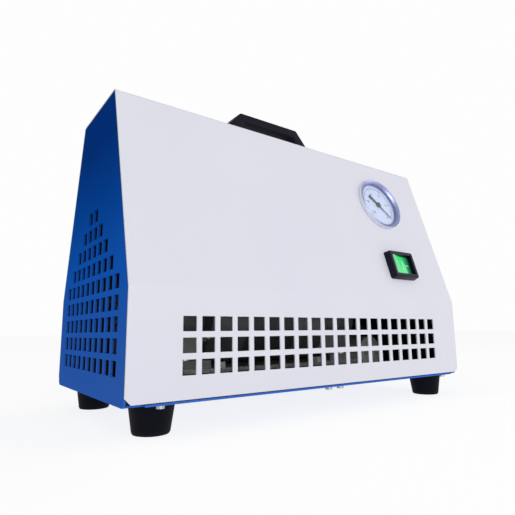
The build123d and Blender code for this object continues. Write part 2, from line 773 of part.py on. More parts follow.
with BuildPart() as inlet_pins:
    for x, y in pin_spots:
        block(along(socket, x, y, -SOCKET_D), PIN_W, PIN_H, SOCKET_D - INLET_T)
        block(inward(along(socket, x, y, -INLET_T - INLET_BODY_D)), BLADE_T, PIN_H, BLADE_L)
save("inlet_pins", inlet_pins)

with BuildPart() as fuse_drawer:
    block(along(drawer, out=DRAWER_GAP - DRAWER_D), DRAWER_W - 2 * DRAWER_GAP, DRAWER_H - 2 * DRAWER_GAP,
          DRAWER_D)
    with BuildSketch(along(drawer, out=DRAWER_GAP)):
        RectangleRounded(DRAWER_FACE_W, DRAWER_FACE_H, DRAWER_CORNER)
    extrude(amount=DRAWER_FACE_T)
save("fuse_drawer", fuse_drawer)

with BuildPart() as inlet_screws:
    for side in (-1, 1):
        screw(along(inlet_face, side * INLET_SCREW_X), M4_HEAD_R, M4_HEAD_H, M4_R, INLET_SCREW_L)
save("inlet_screws", inlet_screws)

# Manifold behind the back slope, with the hose nozzle and the regulator in its two necks
port_up = (CASE_D / 2 - port_y) * slope_sin + (port_z - fold_z) * slope_cos
port_out = (port_y - CASE_D / 2) * slope_cos + (port_z - fold_z) * slope_sin
manifold_low = port_up - MANIFOLD_EDGE
manifold_high = NOZZLE_UP + MANIFOLD_EDGE
nozzle = back(MANIFOLD_X + PORT_SPACING / 2, NOZZLE_UP)
regulator = back(MANIFOLD_X - PORT_SPACING / 2, NOZZLE_UP)
neck_foot = port_out + MANIFOLD_T / 2
neck_l = -COVER_T - neck_foot
stem_foot = REGULATOR_BUSH_H - REGULATOR_STEM_D
needle_seat = stem_foot - PASSAGE_R * (1 - PASSAGE_R / REGULATOR_STEM_R) - RUN_GAP
manifold_ports = [facing_x(MANIFOLD_X + side * MANIFOLD_W / 2, port_y, port_z, side) for side in (-1, 1)]
with BuildPart() as vacuum_manifold:
    block(back(MANIFOLD_X, (manifold_low + manifold_high) / 2, port_out - MANIFOLD_T / 2),
          MANIFOLD_W, manifold_high - manifold_low, MANIFOLD_T)
    rod(along(nozzle, out=neck_foot), NECK_R, neck_l)
    rod(along(regulator, out=neck_foot), NECK_R, neck_l)
    rod(along(regulator, out=-COVER_T), REGULATOR_BUSH_R, COVER_T + REGULATOR_BUSH_H)
    rod(inward(along(nozzle, out=-COVER_T)), NOZZLE_R, NOZZLE_THREAD_L, Mode.SUBTRACT)
    rod(inward(along(nozzle, out=-NOZZLE_THREAD_L)), PASSAGE_R, -port_out, Mode.SUBTRACT)
    rod(along(regulator, out=needle_seat), REGULATOR_STEM_R + RUN_GAP, REGULATOR_BUSH_H - needle_seat,
        Mode.SUBTRACT)
    rod(inward(along(regulator, out=stem_foot)), PASSAGE_R, -port_out, Mode.SUBTRACT)
    rod(inward(manifold_ports[0]), HEAD_PORT_R, MANIFOLD_W, Mode.SUBTRACT)
save("vacuum_manifold", vacuum_manifold)

with BuildPart() as vacuum_nozzle:
    hexagon(nozzle, NOZZLE_HEX_R, NOZZLE_HEX_H)
    rod(along(nozzle, out=NOZZLE_HEX_H), NOZZLE_R, NOZZLE_L)
    outward = vacuum_nozzle.edges().group_by(lambda edge: nozzle.to_local_coords(edge.center()).Z)
    chamfer(outward[-1], NOZZLE_EDGE)
    rod(inward(nozzle), NOZZLE_R, NOZZLE_THREAD_L)
    rod(along(nozzle, out=-NOZZLE_THREAD_L), NOZZLE_BORE_R, NOZZLE_THREAD_L + NOZZLE_HEX_H + NOZZLE_L,
        Mode.SUBTRACT)
save("vacuum_nozzle", vacuum_nozzle)

knob_foot = REGULATOR_BUSH_H + KNOB_GAP
with BuildPart() as regulator_stem:
    turn(regulator, (0, stem_foot - PASSAGE_R), (REGULATOR_STEM_R, stem_foot),
         (REGULATOR_STEM_R, knob_foot + KNOB_STEM_L), (0, knob_foot + KNOB_STEM_L))
save("regulator_stem", regulator_stem)

with BuildPart() as regulator_knob:
    rod(along(regulator, out=knob_foot), KNOB_R, KNOB_H)
    with BuildSketch(along(regulator, out=knob_foot)):
        with PolarLocations(KNOB_R + KNOB_FLUTE_OUT, KNOB_FLUTES):
            Circle(KNOB_FLUTE_R)
    extrude(amount=KNOB_H, mode=Mode.SUBTRACT)
    rod(along(regulator, out=knob_foot), REGULATOR_STEM_R + RUN_GAP, KNOB_STEM_L + DRAWER_GAP, Mode.SUBTRACT)
save("regulator_knob", regulator_knob)

# Pump carrier: plate on rubber-metal mounts
with BuildPart() as vibration_mounts:
    for x, y in mount_spots:
        turn(level(x, y, floor_z), (0, 0), (MOUNT_R, 0), (MOUNT_WAIST_R, MOUNT_H / 2), (MOUNT_R, MOUNT_H),
             (0, MOUNT_H))
        rod(level(x, y, floor_z - MOUNT_STUD_L), M5_R, MOUNT_H + 2 * MOUNT_STUD_L)
save("vibration_mounts", vibration_mounts)

foot_bolt_spots = [(pump_x + side * CASTING_FOOT_U, y)
                   for side in (-1, 1) for y in (-FOOT_BOLT_Y, FOOT_BOLT_Y)]
with BuildPart() as pump_plate:
    with BuildSketch(level(pump_x, 0, plate_z)):
        RectangleRounded(PLATE_L, PLATE_W, PLATE_CORNER)
    extrude(amount=PLATE_T)
    with BuildSketch(Plane.XY.offset(plate_z)):
        with Locations(*mount_spots):
            Circle(M5_R + HOLE_GAP)
        with Locations(*foot_bolt_spots):
            Circle(FOOT_BOLT_R)
    extrude(amount=PLATE_T, mode=Mode.SUBTRACT)
save("pump_plate", pump_plate)

casting_foot_z = plate_z + PLATE_T + CASTING_FOOT_T
with BuildPart() as pump_bolts:
    for x, y in foot_bolt_spots:
        screw(level(x, y, casting_foot_z), FOOT_BOLT_HEAD_R, FOOT_BOLT_HEAD_H, FOOT_BOLT_R,
              CASTING_FOOT_T + PLATE_T)
save("pump_bolts", pump_bolts)

# Castings: each is motor bell, bearing seat, crank chamber and head deck in one
bolt_angle = math.radians(BOLT_ANGLE)
bolt_spots = [(y * BOLT_CIRCLE_R * math.cos(bolt_angle), z * BOLT_CIRCLE_R * math.sin(bolt_angle))
              for y in (-1, 1) for z in (-1, 1)]
head_screw_spots = [(x * HEAD_SCREW, y * HEAD_SCREW) for x in (-1, 1) for y in (-1, 1)]
seat_r = BEARING_R + SEAT
bearing_end = BELL_END + BEARING_W


def crankcase(side):
    """One casting, on the given side of the motor."""
    middle = shaft_plane(0, side)
    with BuildPart() as casting:
        turn(middle, (0, STATOR_HALF), (STATOR_R, STATOR_HALF), (STATOR_R, chamber_start),
             (CHAMBER_R + CHAMBER_WALL, chamber_start), (CHAMBER_R + CHAMBER_WALL, chamber_end),
             (0, chamber_end))
        rod(head_plane(side), NECK_OUTER_R, DECK_H)
        with BuildSketch(head_plane(side, DECK_H)):
            RectangleRounded(HEAD_W, HEAD_W, HEAD_CORNER)
        extrude(amount=-FLANGE_T)
        foot = level(pump_x + side * CASTING_FOOT_U, 0, plate_z + PLATE_T)
        block(foot, CASTING_FOOT_L, PEDESTAL_W, AXIS_ABOVE_PLATE)
        block(foot, CASTING_FOOT_L, CASTING_FOOT_W, CASTING_FOOT_T)
        turn(middle, (0, STATOR_HALF), (BELL_BORE_R, STATOR_HALF), (BELL_BORE_R, BELL_END),
             (seat_r, BELL_END), (seat_r, bearing_end), (LIP_R, bearing_end), (LIP_R, chamber_start),
             (CHAMBER_R, chamber_start), (CHAMBER_R, chamber_end), (0, chamber_end), mode=Mode.SUBTRACT)
        rod(head_plane(side, NECK_FLOOR), NECK_BORE_R, DECK_H - NECK_FLOOR, Mode.SUBTRACT)
        with BuildSketch(shaft_plane(STATOR_HALF, side)):
            with Locations(*bolt_spots):
                Circle(BOLT_R + HOLE_GAP)
        extrude(amount=chamber_start - STATOR_HALF, mode=Mode.SUBTRACT)
        with BuildSketch(head_plane(side, DECK_H)):
            with Locations(*head_screw_spots):
                Circle(M4_R)
        extrude(amount=-FLANGE_T, mode=Mode.SUBTRACT)
        with BuildSketch(foot):
            with Locations((0, -FOOT_BOLT_Y), (0, FOOT_BOLT_Y)):
                Circle(FOOT_BOLT_R + HOLE_GAP)
        extrude(amount=CASTING_FOOT_T, mode=Mode.SUBTRACT)
    return casting


for side, name in ((-1, "left"), (1, "right")):
    save(f"crankcase_{name}", crankcase(side))

with BuildPart() as motor_bolts:
    for y, z in bolt_spots:
        screw(along(shaft_plane(chamber_start, 1), y, z), BOLT_HEAD_R, BOLT_HEAD_H, BOLT_R, 2 * chamber_start)
        rod(along(shaft_plane(chamber_start, -1), -y, z), BOLT_HEAD_R, BOLT_HEAD_H)
save("motor_bolts", motor_bolts)

# Motor
with BuildPart() as stator_core:
    with BuildSketch(shaft_plane(-STATOR_HALF, 1)):
        Circle(STATOR_R)
        Circle(STATOR_BORE_R, mode=Mode.SUBTRACT)
        with Locations(*bolt_spots):
            Circle(BOLT_R + HOLE_GAP, mode=Mode.SUBTRACT)
    extrude(amount=2 * STATOR_HALF)
save("stator_core", stator_core)

winding_end = STATOR_HALF + WINDING_OUT
with BuildPart() as stator_windings:
    for side in (-1, 1):
        turn(shaft_plane(0, side), (WINDING_INNER_R, STATOR_HALF), (WINDING_R, STATOR_HALF),
             (WINDING_R, winding_end - WINDING_ROUND), (WINDING_R - WINDING_ROUND, winding_end),
             (WINDING_INNER_R + WINDING_ROUND, winding_end), (WINDING_INNER_R, winding_end - WINDING_ROUND))
save("stator_windings", stator_windings)

rotor_r = STATOR_BORE_R - AIR_GAP
with BuildPart() as rotor_core:
    tube(shaft_plane(-STATOR_HALF, 1), rotor_r, SHAFT_R, 2 * STATOR_HALF)
    for side in (-1, 1):
        tube(shaft_plane(STATOR_HALF, side), rotor_r - ROTOR_RING_STEP, SHAFT_R, ROTOR_RING)
save("rotor_core", rotor_core)

fan_start = chamber_end + FAN_GAP
shaft_end = fan_start + FAN_W + SHAFT_STICKS_OUT
shoulder = BELL_END - SHEET_GAP
with BuildPart() as motor_shaft:
    for side in (-1, 1):
        turn(shaft_plane(0, side), (0, 0), (SHAFT_R, 0), (SHAFT_R, shoulder), (JOURNAL_R, shoulder),
             (JOURNAL_R, chamber_start), (SHAFT_END_R, chamber_start), (SHAFT_END_R, shaft_end),
             (0, shaft_end))
save("motor_shaft", motor_shaft)

with BuildPart() as shaft_bearings:
    for side in (-1, 1):
        tube(shaft_plane(BELL_END, side), BEARING_R, JOURNAL_R + RUN_GAP, BEARING_W)
save("shaft_bearings", shaft_bearings)

# Cranks: one throw up and one down, each with its balance weight opposite
crank_start = HEAD_U - CRANK_W / 2
balance_start = crank_start - BALANCE_T
with BuildPart() as eccentrics:
    for side in (-1, 1):
        throw = side * THROW
        with BuildSketch(shaft_plane(balance_start, side)):
            Circle(BALANCE_R)
            with Locations((0, side * BALANCE_R)):
                Rectangle(2 * BALANCE_R, 2 * BALANCE_R, mode=Mode.SUBTRACT)
            Circle(CRANK_R)
        extrude(amount=BALANCE_T)
        rod(along(shaft_plane(crank_start, side), 0, throw), CRANK_R, CRANK_W)
        rod(shaft_plane(balance_start, side), SHAFT_END_R, BALANCE_T + CRANK_W, Mode.SUBTRACT)
save("eccentrics", eccentrics)


def crank_plane(side, out):
    """Plane across the crank's own centre line, that far out along the shaft."""
    return along(shaft_plane(out, side), 0, side * THROW)


def rod_bearing(side):
    """Bearing between a crank and its rod."""
    with BuildPart() as bearing:
        tube(crank_plane(side, HEAD_U - ROD_BEARING_W / 2), ROD_BEARING_R, CRANK_R + RUN_GAP, ROD_BEARING_W)
    return bearing


def connecting_rod(side):
    """Rod with the bearing ring below and the diaphragm's seat above."""
    seat = head_plane(side, side * THROW + DECK_H)
    with BuildPart() as con_rod:
        rod(crank_plane(side, HEAD_U - ROD_W / 2), ROD_RING_R, ROD_W)
        block(head_plane(side, side * THROW), ROD_SHANK_W, ROD_SHANK_D, DECK_H)
        rod(inward(seat), DISC_R, DISC_T)
        rod(crank_plane(side, HEAD_U - ROD_W / 2), ROD_BEARING_R, ROD_W, Mode.SUBTRACT)
        rod(inward(seat), M5_R, CLAMP_STUD_L, Mode.SUBTRACT)
    return con_rod


def diaphragm(side):
    """Rubber disc, its middle lifted or lowered with the rod and its rim flat on the deck."""
    lift = side * THROW
    with BuildPart() as disc:
        turn(head_plane(side, DECK_H), (M5_R + SEAT, lift), (DISC_R, lift), (DIAPHRAGM_HOLD_R, 0),
             (DIAPHRAGM_R, 0), (DIAPHRAGM_R, DIAPHRAGM_T), (DIAPHRAGM_HOLD_R, DIAPHRAGM_T),
             (DISC_R, DIAPHRAGM_T + lift), (M5_R + SEAT, DIAPHRAGM_T + lift))
    return disc


def clamp_disc(side):
    """Disc with a moulded-in stud that clamps the diaphragm to the rod."""
    with BuildPart() as disc:
        top = head_plane(side, DECK_H + DIAPHRAGM_T + side * THROW)
        rod(top, DISC_R, DISC_T)
        rod(inward(top), M5_R, DIAPHRAGM_T + CLAMP_STUD_L)
    return disc


for side, name in ((-1, "left"), (1, "right")):
    save(f"rod_bearing_{name}", rod_bearing(side))
    save(f"con_rod_{name}", connecting_rod(side))
    save(f"diaphragm_{name}", diaphragm(side))
    save(f"clamp_disc_{name}", clamp_disc(side))

# Valve plates: dished below for the clamp disc, with a reed on each port
dish_top = DIAPHRAGM_T + DISC_T + THROW + DISH_GAP
with BuildPart() as valve_plates:
    for side in (-1, 1):
        deck = head_plane(side, DECK_H)
        with BuildSketch(deck):
            RectangleRounded(HEAD_W, HEAD_W, HEAD_CORNER)
            with Locations(*head_screw_spots):
                Circle(M4_R + HOLE_GAP, mode=Mode.SUBTRACT)
            with Locations((-VALVE_X, 0), (VALVE_X, 0)):
                Circle(VALVE_R, mode=Mode.SUBTRACT)
        extrude(amount=VALVE_PLATE_T)
        turn(deck, (0, 0), (DIAPHRAGM_R, 0), (DIAPHRAGM_R, DIAPHRAGM_T), (DIAPHRAGM_HOLD_R, DIAPHRAGM_T),
             (DISH_TOP_R, dish_top), (0, dish_top), mode=Mode.SUBTRACT)
        block(along(deck, -VALVE_X, 0, dish_top), REED_W + 2 * REED_ROOM, REED_L + 2 * REED_ROOM, REED_POCKET,
              Mode.SUBTRACT)
save("valve_plates", valve_plates)

with BuildPart() as reed_valves:
    for side in (-1, 1):
        deck = head_plane(side, DECK_H)
        block(along(deck, -VALVE_X, 0, dish_top + REED_POCKET - REED_T), REED_W, REED_L, REED_T)
        block(along(deck, VALVE_X, 0, VALVE_PLATE_T), REED_W, REED_L, REED_T)
save("reed_valves", reed_valves)

# Heads: intake pocket on the left and exhaust pocket on the right of each, fins on top
head_side_ports = [facing_x(pump_x - HEAD_U + HEAD_W / 2, 0, port_z, 1),
                   facing_x(pump_x + HEAD_U - HEAD_W / 2, 0, port_z, -1),
                   facing_x(pump_x + HEAD_U + HEAD_W / 2, 0, port_z, 1)]
rear_port = Plane(origin=(pump_x - HEAD_U - PORT_X, HEAD_W / 2, port_z), x_dir=(1, 0, 0), z_dir=(0, 1, 0))
port_depth = HEAD_W / 2 - PORT_X
with BuildPart() as pump_heads:
    for side in (-1, 1):
        seat = head_plane(side, plate_top)
        with BuildSketch(seat):
            RectangleRounded(HEAD_W, HEAD_W, HEAD_CORNER)
        extrude(amount=HEAD_T)
        with BuildSketch(along(seat, out=HEAD_T)):
            with GridLocations(FIN_PITCH, FIN_PITCH, FIN_COUNT, 1):
                Rectangle(FIN_T, FIN_L)
            RectangleRounded(HEAD_W, HEAD_W, HEAD_CORNER, mode=Mode.INTERSECT)
            with Locations(*head_screw_spots):
                Circle(M4_HEAD_R + SCREW_ROOM, mode=Mode.SUBTRACT)
        extrude(amount=FIN_H)
        with BuildSketch(seat):
            with Locations(*head_screw_spots):
                Circle(M4_R + HOLE_GAP)
        extrude(amount=HEAD_T, mode=Mode.SUBTRACT)
        with BuildSketch(seat):
            with Locations((-PORT_X, 0), (PORT_X, 0)):
                Rectangle(HEAD_POCKET_W, HEAD_POCKET_L)
        extrude(amount=HEAD_POCKET_D, mode=Mode.SUBTRACT)
    for port in (*head_side_ports, rear_port):
        rod(inward(port), HEAD_PORT_R, port_depth, Mode.SUBTRACT)
save("pump_heads", pump_heads)

head_screw_l = head_top - DECK_H + FLANGE_T
with BuildPart() as head_screws:
    for side in (-1, 1):
        for x, y in head_screw_spots:
            screw(along(head_plane(side, head_top), x, y), M4_HEAD_R, HEAD_SCREW_HEAD_H, M4_R, head_screw_l)
save("head_screws", head_screws)

# Fans on both shaft ends
blade_root = FAN_HUB_R - FAN_BLADE_ROOT
with BuildPart() as cooling_fans:
    for side in (-1, 1):
        hub = shaft_plane(fan_start, side)
        rod(hub, FAN_HUB_R, FAN_W)
        for blade in range(FAN_BLADES):
            spoke = along(turned(hub, blade * 360 / FAN_BLADES), (blade_root + FAN_R) / 2, 0, FAN_W / 2)
            with Locations(spoke.moved(Location((0, 0, 0), (FAN_PITCH, 0, 0)))):
                Box(FAN_R - blade_root, FAN_BLADE_T, FAN_W)
        rod(hub, SHAFT_END_R, FAN_W, Mode.SUBTRACT)
save("cooling_fans", cooling_fans)

# Fittings and hoses
fitting_stub = HEAD_PORT_R - SEAT
with BuildPart() as hose_fittings:
    for port in (*head_side_ports[:2], *manifold_ports):
        rod(port, FITTING_R, FITTING_L)
        rod(inward(port), fitting_stub, STUB_L)
    rod(inward(rear_port), fitting_stub, STUB_L)
    rod(rear_port, FITTING_R, ELBOW_OUT + FITTING_R)
    rod(facing_x(rear_port.origin.X, port_y, port_z, 1), FITTING_R, FITTING_L)
save("hose_fittings", hose_fittings)

with BuildPart() as link_tube:
    rod(along(head_side_ports[0], out=FITTING_L), HOSE_R, 2 * (HEAD_U - HEAD_W / 2 - FITTING_L))
save("link_tube", link_tube)

inlet_hose_start = rear_port.origin.X + FITTING_L
inlet_hose_end = manifold_ports[0].origin.X - FITTING_L
with BuildPart() as inlet_hose:
    rod(facing_x(inlet_hose_start, port_y, port_z, 1), HOSE_R, inlet_hose_end - inlet_hose_start)
save("inlet_hose", inlet_hose)

stem_end = along(gauge_back, out=STEM_L)
gauge_route = [tuple(stem_end.origin), tuple(stem_end.from_local_coords((0, 0, GAUGE_HOSE_LEAD))),
               (gauge_x - GAUGE_HOSE_OVER, port_y - GAUGE_HOSE_SIDE, port_z + GAUGE_HOSE_RISE),
               (gauge_x - GAUGE_HOSE_RUN, port_y, port_z),
               (manifold_ports[1].origin.X + FITTING_L, port_y, port_z)]
gauge_bends = bend_radii(gauge_route)
print("gauge hose bends", [round(bend, 1) for bend in gauge_bends])
with BuildPart() as gauge_hose:
    hose(GAUGE_HOSE_R, gauge_route, gauge_bends)
save("gauge_hose", gauge_hose)

with BuildPart() as exhaust_silencer:
    port = head_side_ports[2]
    rod(inward(port), fitting_stub, STUB_L)
    rod(port, SILENCER_STEM_R, SILENCER_STEM_L)
    rod(along(port, out=SILENCER_STEM_L), SILENCER_R, SILENCER_L)
    for ring in range(SILENCER_RINGS):
        groove = along(port, out=SILENCER_STEM_L + (ring + 1) * SILENCER_L / (SILENCER_RINGS + 1))
        turn(groove, (SILENCER_R - SILENCER_GROOVE, 0), (SILENCER_R, 0), (SILENCER_R, SILENCER_GROOVE_W),
             (SILENCER_R - SILENCER_GROOVE, SILENCER_GROOVE_W), mode=Mode.SUBTRACT)
save("exhaust_silencer", exhaust_silencer)

# Run capacitor, strapped to the base
capacitor_z = floor_z + CLIP_T + CAPACITOR_R
capacitor = Plane(origin=(capacitor_x, CAPACITOR_Y - CAPACITOR_L / 2, capacitor_z), x_dir=(1, 0, 0),
                  z_dir=(0, 1, 0))
with BuildPart() as run_capacitor:
    rod(capacitor, CAPACITOR_R, CAPACITOR_L)
    for side in (-1, 1):
        block(along(inward(capacitor), side * CAPACITOR_R / 2), BLADE_T, BLADE_W, BLADE_L)
save("run_capacitor", run_capacitor)

with BuildPart() as capacitor_clip:
    tube(along(capacitor, out=(CAPACITOR_L - CLIP_W) / 2), CAPACITOR_R + CLIP_T, CAPACITOR_R, CLIP_W)
    block(level(capacitor_x, CAPACITOR_Y, floor_z), 2 * (CAPACITOR_R + CLIP_W / 2), CLIP_W, CLIP_T)
    rod(capacitor, CAPACITOR_R, CAPACITOR_L, Mode.SUBTRACT)
save("capacitor_clip", capacitor_clip)
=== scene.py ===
import json
import math

import bmesh
import bpy
from mathutils import Matrix, Vector


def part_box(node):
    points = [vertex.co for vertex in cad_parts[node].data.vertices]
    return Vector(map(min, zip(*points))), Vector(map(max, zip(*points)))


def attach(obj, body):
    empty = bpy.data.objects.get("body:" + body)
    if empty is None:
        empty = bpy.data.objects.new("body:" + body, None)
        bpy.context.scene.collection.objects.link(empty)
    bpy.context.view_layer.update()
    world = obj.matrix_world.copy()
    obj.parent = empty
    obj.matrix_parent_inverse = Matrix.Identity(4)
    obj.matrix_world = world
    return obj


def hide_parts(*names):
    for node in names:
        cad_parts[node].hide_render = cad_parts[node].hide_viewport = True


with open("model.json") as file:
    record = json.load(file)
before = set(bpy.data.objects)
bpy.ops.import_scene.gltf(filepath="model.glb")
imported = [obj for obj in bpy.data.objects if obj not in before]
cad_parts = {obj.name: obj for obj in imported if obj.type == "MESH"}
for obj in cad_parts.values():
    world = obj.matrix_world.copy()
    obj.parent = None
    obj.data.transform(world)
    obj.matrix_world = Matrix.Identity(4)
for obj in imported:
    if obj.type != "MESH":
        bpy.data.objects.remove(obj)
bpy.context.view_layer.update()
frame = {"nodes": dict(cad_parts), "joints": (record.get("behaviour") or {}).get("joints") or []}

joints = {joint["name"]: joint for joint in frame["joints"]}


# Studio: white floor that runs into a white surround, one large soft lamp at the front left and a
# weaker one at the right. The surround is plain white to the camera and a soft sky to all else.
class Socket:
    """A shader socket that can be added, multiplied and compared; each operator adds one node."""

    def __init__(self, nodes, socket):
        self.nodes = nodes
        self.socket = socket

    def math(self, operation, other, flip=False):
        first, second = (other, self) if flip else (self, other)
        return self.nodes.add("ShaderNodeMath", {"operation": operation}, {0: first, 1: second})

    def __add__(self, other):
        return self.math("ADD", other)

    def __radd__(self, other):
        return self.math("ADD", other, flip=True)

    def __sub__(self, other):
        return self.math("SUBTRACT", other)

    def __rsub__(self, other):
        return self.math("SUBTRACT", other, flip=True)

    def __mul__(self, other):
        return self.math("MULTIPLY", other)

    def __rmul__(self, other):
        return self.math("MULTIPLY", other, flip=True)

    def __gt__(self, other):
        return self.math("GREATER_THAN", other)

    def __abs__(self):
        return self.math("ABSOLUTE", 0.0)


class Nodes:
    """A node tree that grows one node at a time."""

    def __init__(self, tree):
        self.tree = tree

    def add(self, kind, settings=None, sockets=None, output=0):
        """Add a node, set it up, feed its sockets and return the wanted output."""
        made = self.tree.nodes.new(kind)
        for key, value in (settings or {}).items():
            if key == "stops":
                ramp = made.color_ramp
                while len(ramp.elements) < len(value):
                    ramp.elements.new(0.5)
                for element, (position, color) in zip(ramp.elements, value):
                    element.position = position
                    element.color = (*color, 1)
            else:
                setattr(made, key, value)
        self.feed(made, sockets or {})
        return Socket(self, made.outputs[output])

    def feed(self, node, sockets):
        """Link or set the sockets of one node."""
        for key, value in sockets.items():
            if isinstance(value, Socket):
                self.tree.links.new(value.socket, node.inputs[key])
            else:
                node.inputs[key].default_value = value


class Finish(Nodes):
    """A material with one Principled shader, on the piece's own coordinates."""

    SWING = (0.3, 0.7)

    def __init__(self, name):
        self.material = bpy.data.materials.new(name)
        self.material.use_nodes = True
        super().__init__(self.material.node_tree)
        self.shader = self.tree.nodes["Principled BSDF"]
        self.place = self.add("ShaderNodeTexCoord", output="Object")

    def axis(self, name):
        """The place along one axis, in metres."""
        return self.add("ShaderNodeSeparateXYZ", None, {"Vector": self.place}, name)

    def along(self, direction):
        """How far a point lies along a direction, in metres."""
        return self.add("ShaderNodeVectorMath", {"operation": "DOT_PRODUCT"},
                        {0: self.place, 1: direction}, "Value")

    def noise(self, scale, detail=2.0, roughness=0.5, stretch=(1, 1, 1)):
        """Cloudy value around 0.5, with features of about 1 / scale metres."""
        place = self.add("ShaderNodeMapping", None, {"Vector": self.place, "Scale": stretch})
        return self.add("ShaderNodeTexNoise", None,
                        {"Vector": place, "Scale": scale, "Detail": detail, "Roughness": roughness}, "Fac")

    def mix(self, factor, low, high):
        """Colour from low to high as the factor goes from 0 to 1."""
        low, high = [value if isinstance(value, Socket) else (*value, 1) for value in (low, high)]
        return self.add("ShaderNodeMix", {"data_type": "RGBA"}, {0: factor, 6: low, 7: high}, 2)

    def ramp(self, value, *stops):
        """Colour read off a list of (position, colour) stops."""
        return self.add("ShaderNodeValToRGB", {"stops": stops}, {"Fac": value}, "Color")

    def span(self, value, low, high, to_low=0.0, to_high=1.0):
        """The value's way from low to high, brought to another span and clamped."""
        sockets = {"Value": value, "From Min": low, "From Max": high, "To Min": to_low, "To Max": to_high}
        return self.add("ShaderNodeMapRange", {"clamp": True}, sockets)

    def spread(self, noise, to_low=0.0, to_high=1.0):
        """A noise's usual swing, brought to a span."""
        return self.span(noise, *self.SWING, to_low, to_high)

    def bump(self, height, strength, distance, under=None):
        """Normal for a height, on top of another normal if one is given."""
        sockets = {"Height": height, "Strength": strength, "Distance": distance}
        if under:
            sockets["Normal"] = under
        return self.add("ShaderNodeBump", None, sockets, "Normal")

    def surface(self, **sockets):
        """Feed the shader, its sockets named with underscores for spaces."""
        self.feed(self.shader, {key.replace("_", " "): value for key, value in sockets.items()})

    def on(self, *names):
        """Put the finish on CAD nodes."""
        for name in names:
            for place in frame["nodes"][name].material_slots:
                place.material = self.material


FLOOR_HALF = 30.0
floor_shape = bmesh.new()
bmesh.ops.create_grid(floor_shape, x_segments=1, y_segments=1, size=FLOOR_HALF)
floor_mesh = bpy.data.meshes.new("floor")
floor_shape.to_mesh(floor_mesh)
floor_shape.free()
floor = bpy.data.objects.new("floor", floor_mesh)
bpy.context.scene.collection.objects.link(floor)

FLOOR_GLOW = 0.54
CAMERA_GLOW = 0.31
floor_finish = Finish("floor_white")
floor_mesh.materials.append(floor_finish.material)
seen = floor_finish.add("ShaderNodeLightPath", output="Is Camera Ray")
floor_finish.surface(Base_Color=(0.20, 0.20, 0.20, 1), Roughness=0.9, Specular_IOR_Level=0.0,
                     Emission_Color=(1, 1, 1, 1), Emission_Strength=seen * CAMERA_GLOW + FLOOR_GLOW)

world = bpy.data.worlds.new("surround")
bpy.context.scene.world = world
world.use_nodes = True
sky = Nodes(world.node_tree)
SKY_STRENGTH = 0.58
sky_tones = ((0.0, (0.90, 0.90, 0.96)), (0.5, (1.0, 1.0, 1.0)), (1.0, (0.82, 0.83, 0.84)))
sky_place = sky.add("ShaderNodeTexCoord", output="Generated")
upward = sky.add("ShaderNodeSeparateXYZ", None, {"Vector": sky_place}, "Z")
tone = sky.add("ShaderNodeValToRGB", {"stops": sky_tones}, {"Fac": upward * 0.5 + 0.5}, "Color")
rays = sky.add("ShaderNodeLightPath", output="Is Camera Ray")
soft = sky.add("ShaderNodeBackground", None, {"Color": tone, "Strength": SKY_STRENGTH})
plain = sky.add("ShaderNodeBackground", None, {"Color": (0.985, 0.985, 0.985, 1), "Strength": 1.0})
sky.feed(world.node_tree.nodes["World Output"],
         {"Surface": sky.add("ShaderNodeMixShader", None, {0: rays, 1: soft, 2: plain})})


LAMP_TARGET = Vector((0, 0, 0.12))


def lamp(name, place, size, energy):
    """Square soft lamp at a place, turned to the pump's middle."""
    data = bpy.data.lights.new(name, "AREA")
    data.size = size
    data.energy = energy
    made = bpy.data.objects.new(name, data)
    made.location = place
    made.rotation_mode = "QUATERNION"
    made.rotation_quaternion = (LAMP_TARGET - Vector(place)).to_track_quat("-Z", "Y")
    bpy.context.scene.collection.objects.link(made)


lamp("key_lamp", (-0.25, -1.8, 0.45), 1.1, 14.0)
lamp("side_lamp", (1.3, -0.9, 0.7), 0.9, 2.5)

# Camera: placed and turned as the photograph was taken, from low at the front left and tipped up a
# little. Its focal length is counted in pixels of the photograph's width.
CAMERA_PLACE = (-0.2688, -0.3519, 0.0640)
CAMERA_YAW = math.radians(35.63)
CAMERA_PITCH = math.radians(9.50)
CAMERA_ROLL = math.radians(-0.59)
FOCAL_PIXELS = 445.9
FRAME_PIXELS = 515
camera_data = bpy.data.cameras.new("camera")
camera_data.sensor_width = 36.0
camera_data.lens = camera_data.sensor_width * FOCAL_PIXELS / FRAME_PIXELS
camera_data.clip_start = 0.01
camera = bpy.data.objects.new("camera", camera_data)
camera.location = CAMERA_PLACE
camera.rotation_mode = "QUATERNION"
camera.rotation_quaternion = (
    Matrix.Rotation(-CAMERA_YAW, 3, "Z") @ Matrix.Rotation(math.pi / 2 + CAMERA_PITCH, 3, "X")
    @ Matrix.Rotation(CAMERA_ROLL, 3, "Z")).to_quaternion()
bpy.context.scene.collection.objects.link(camera)
bpy.context.scene.camera = camera
bpy.context.scene.view_settings.view_transform = "Standard"

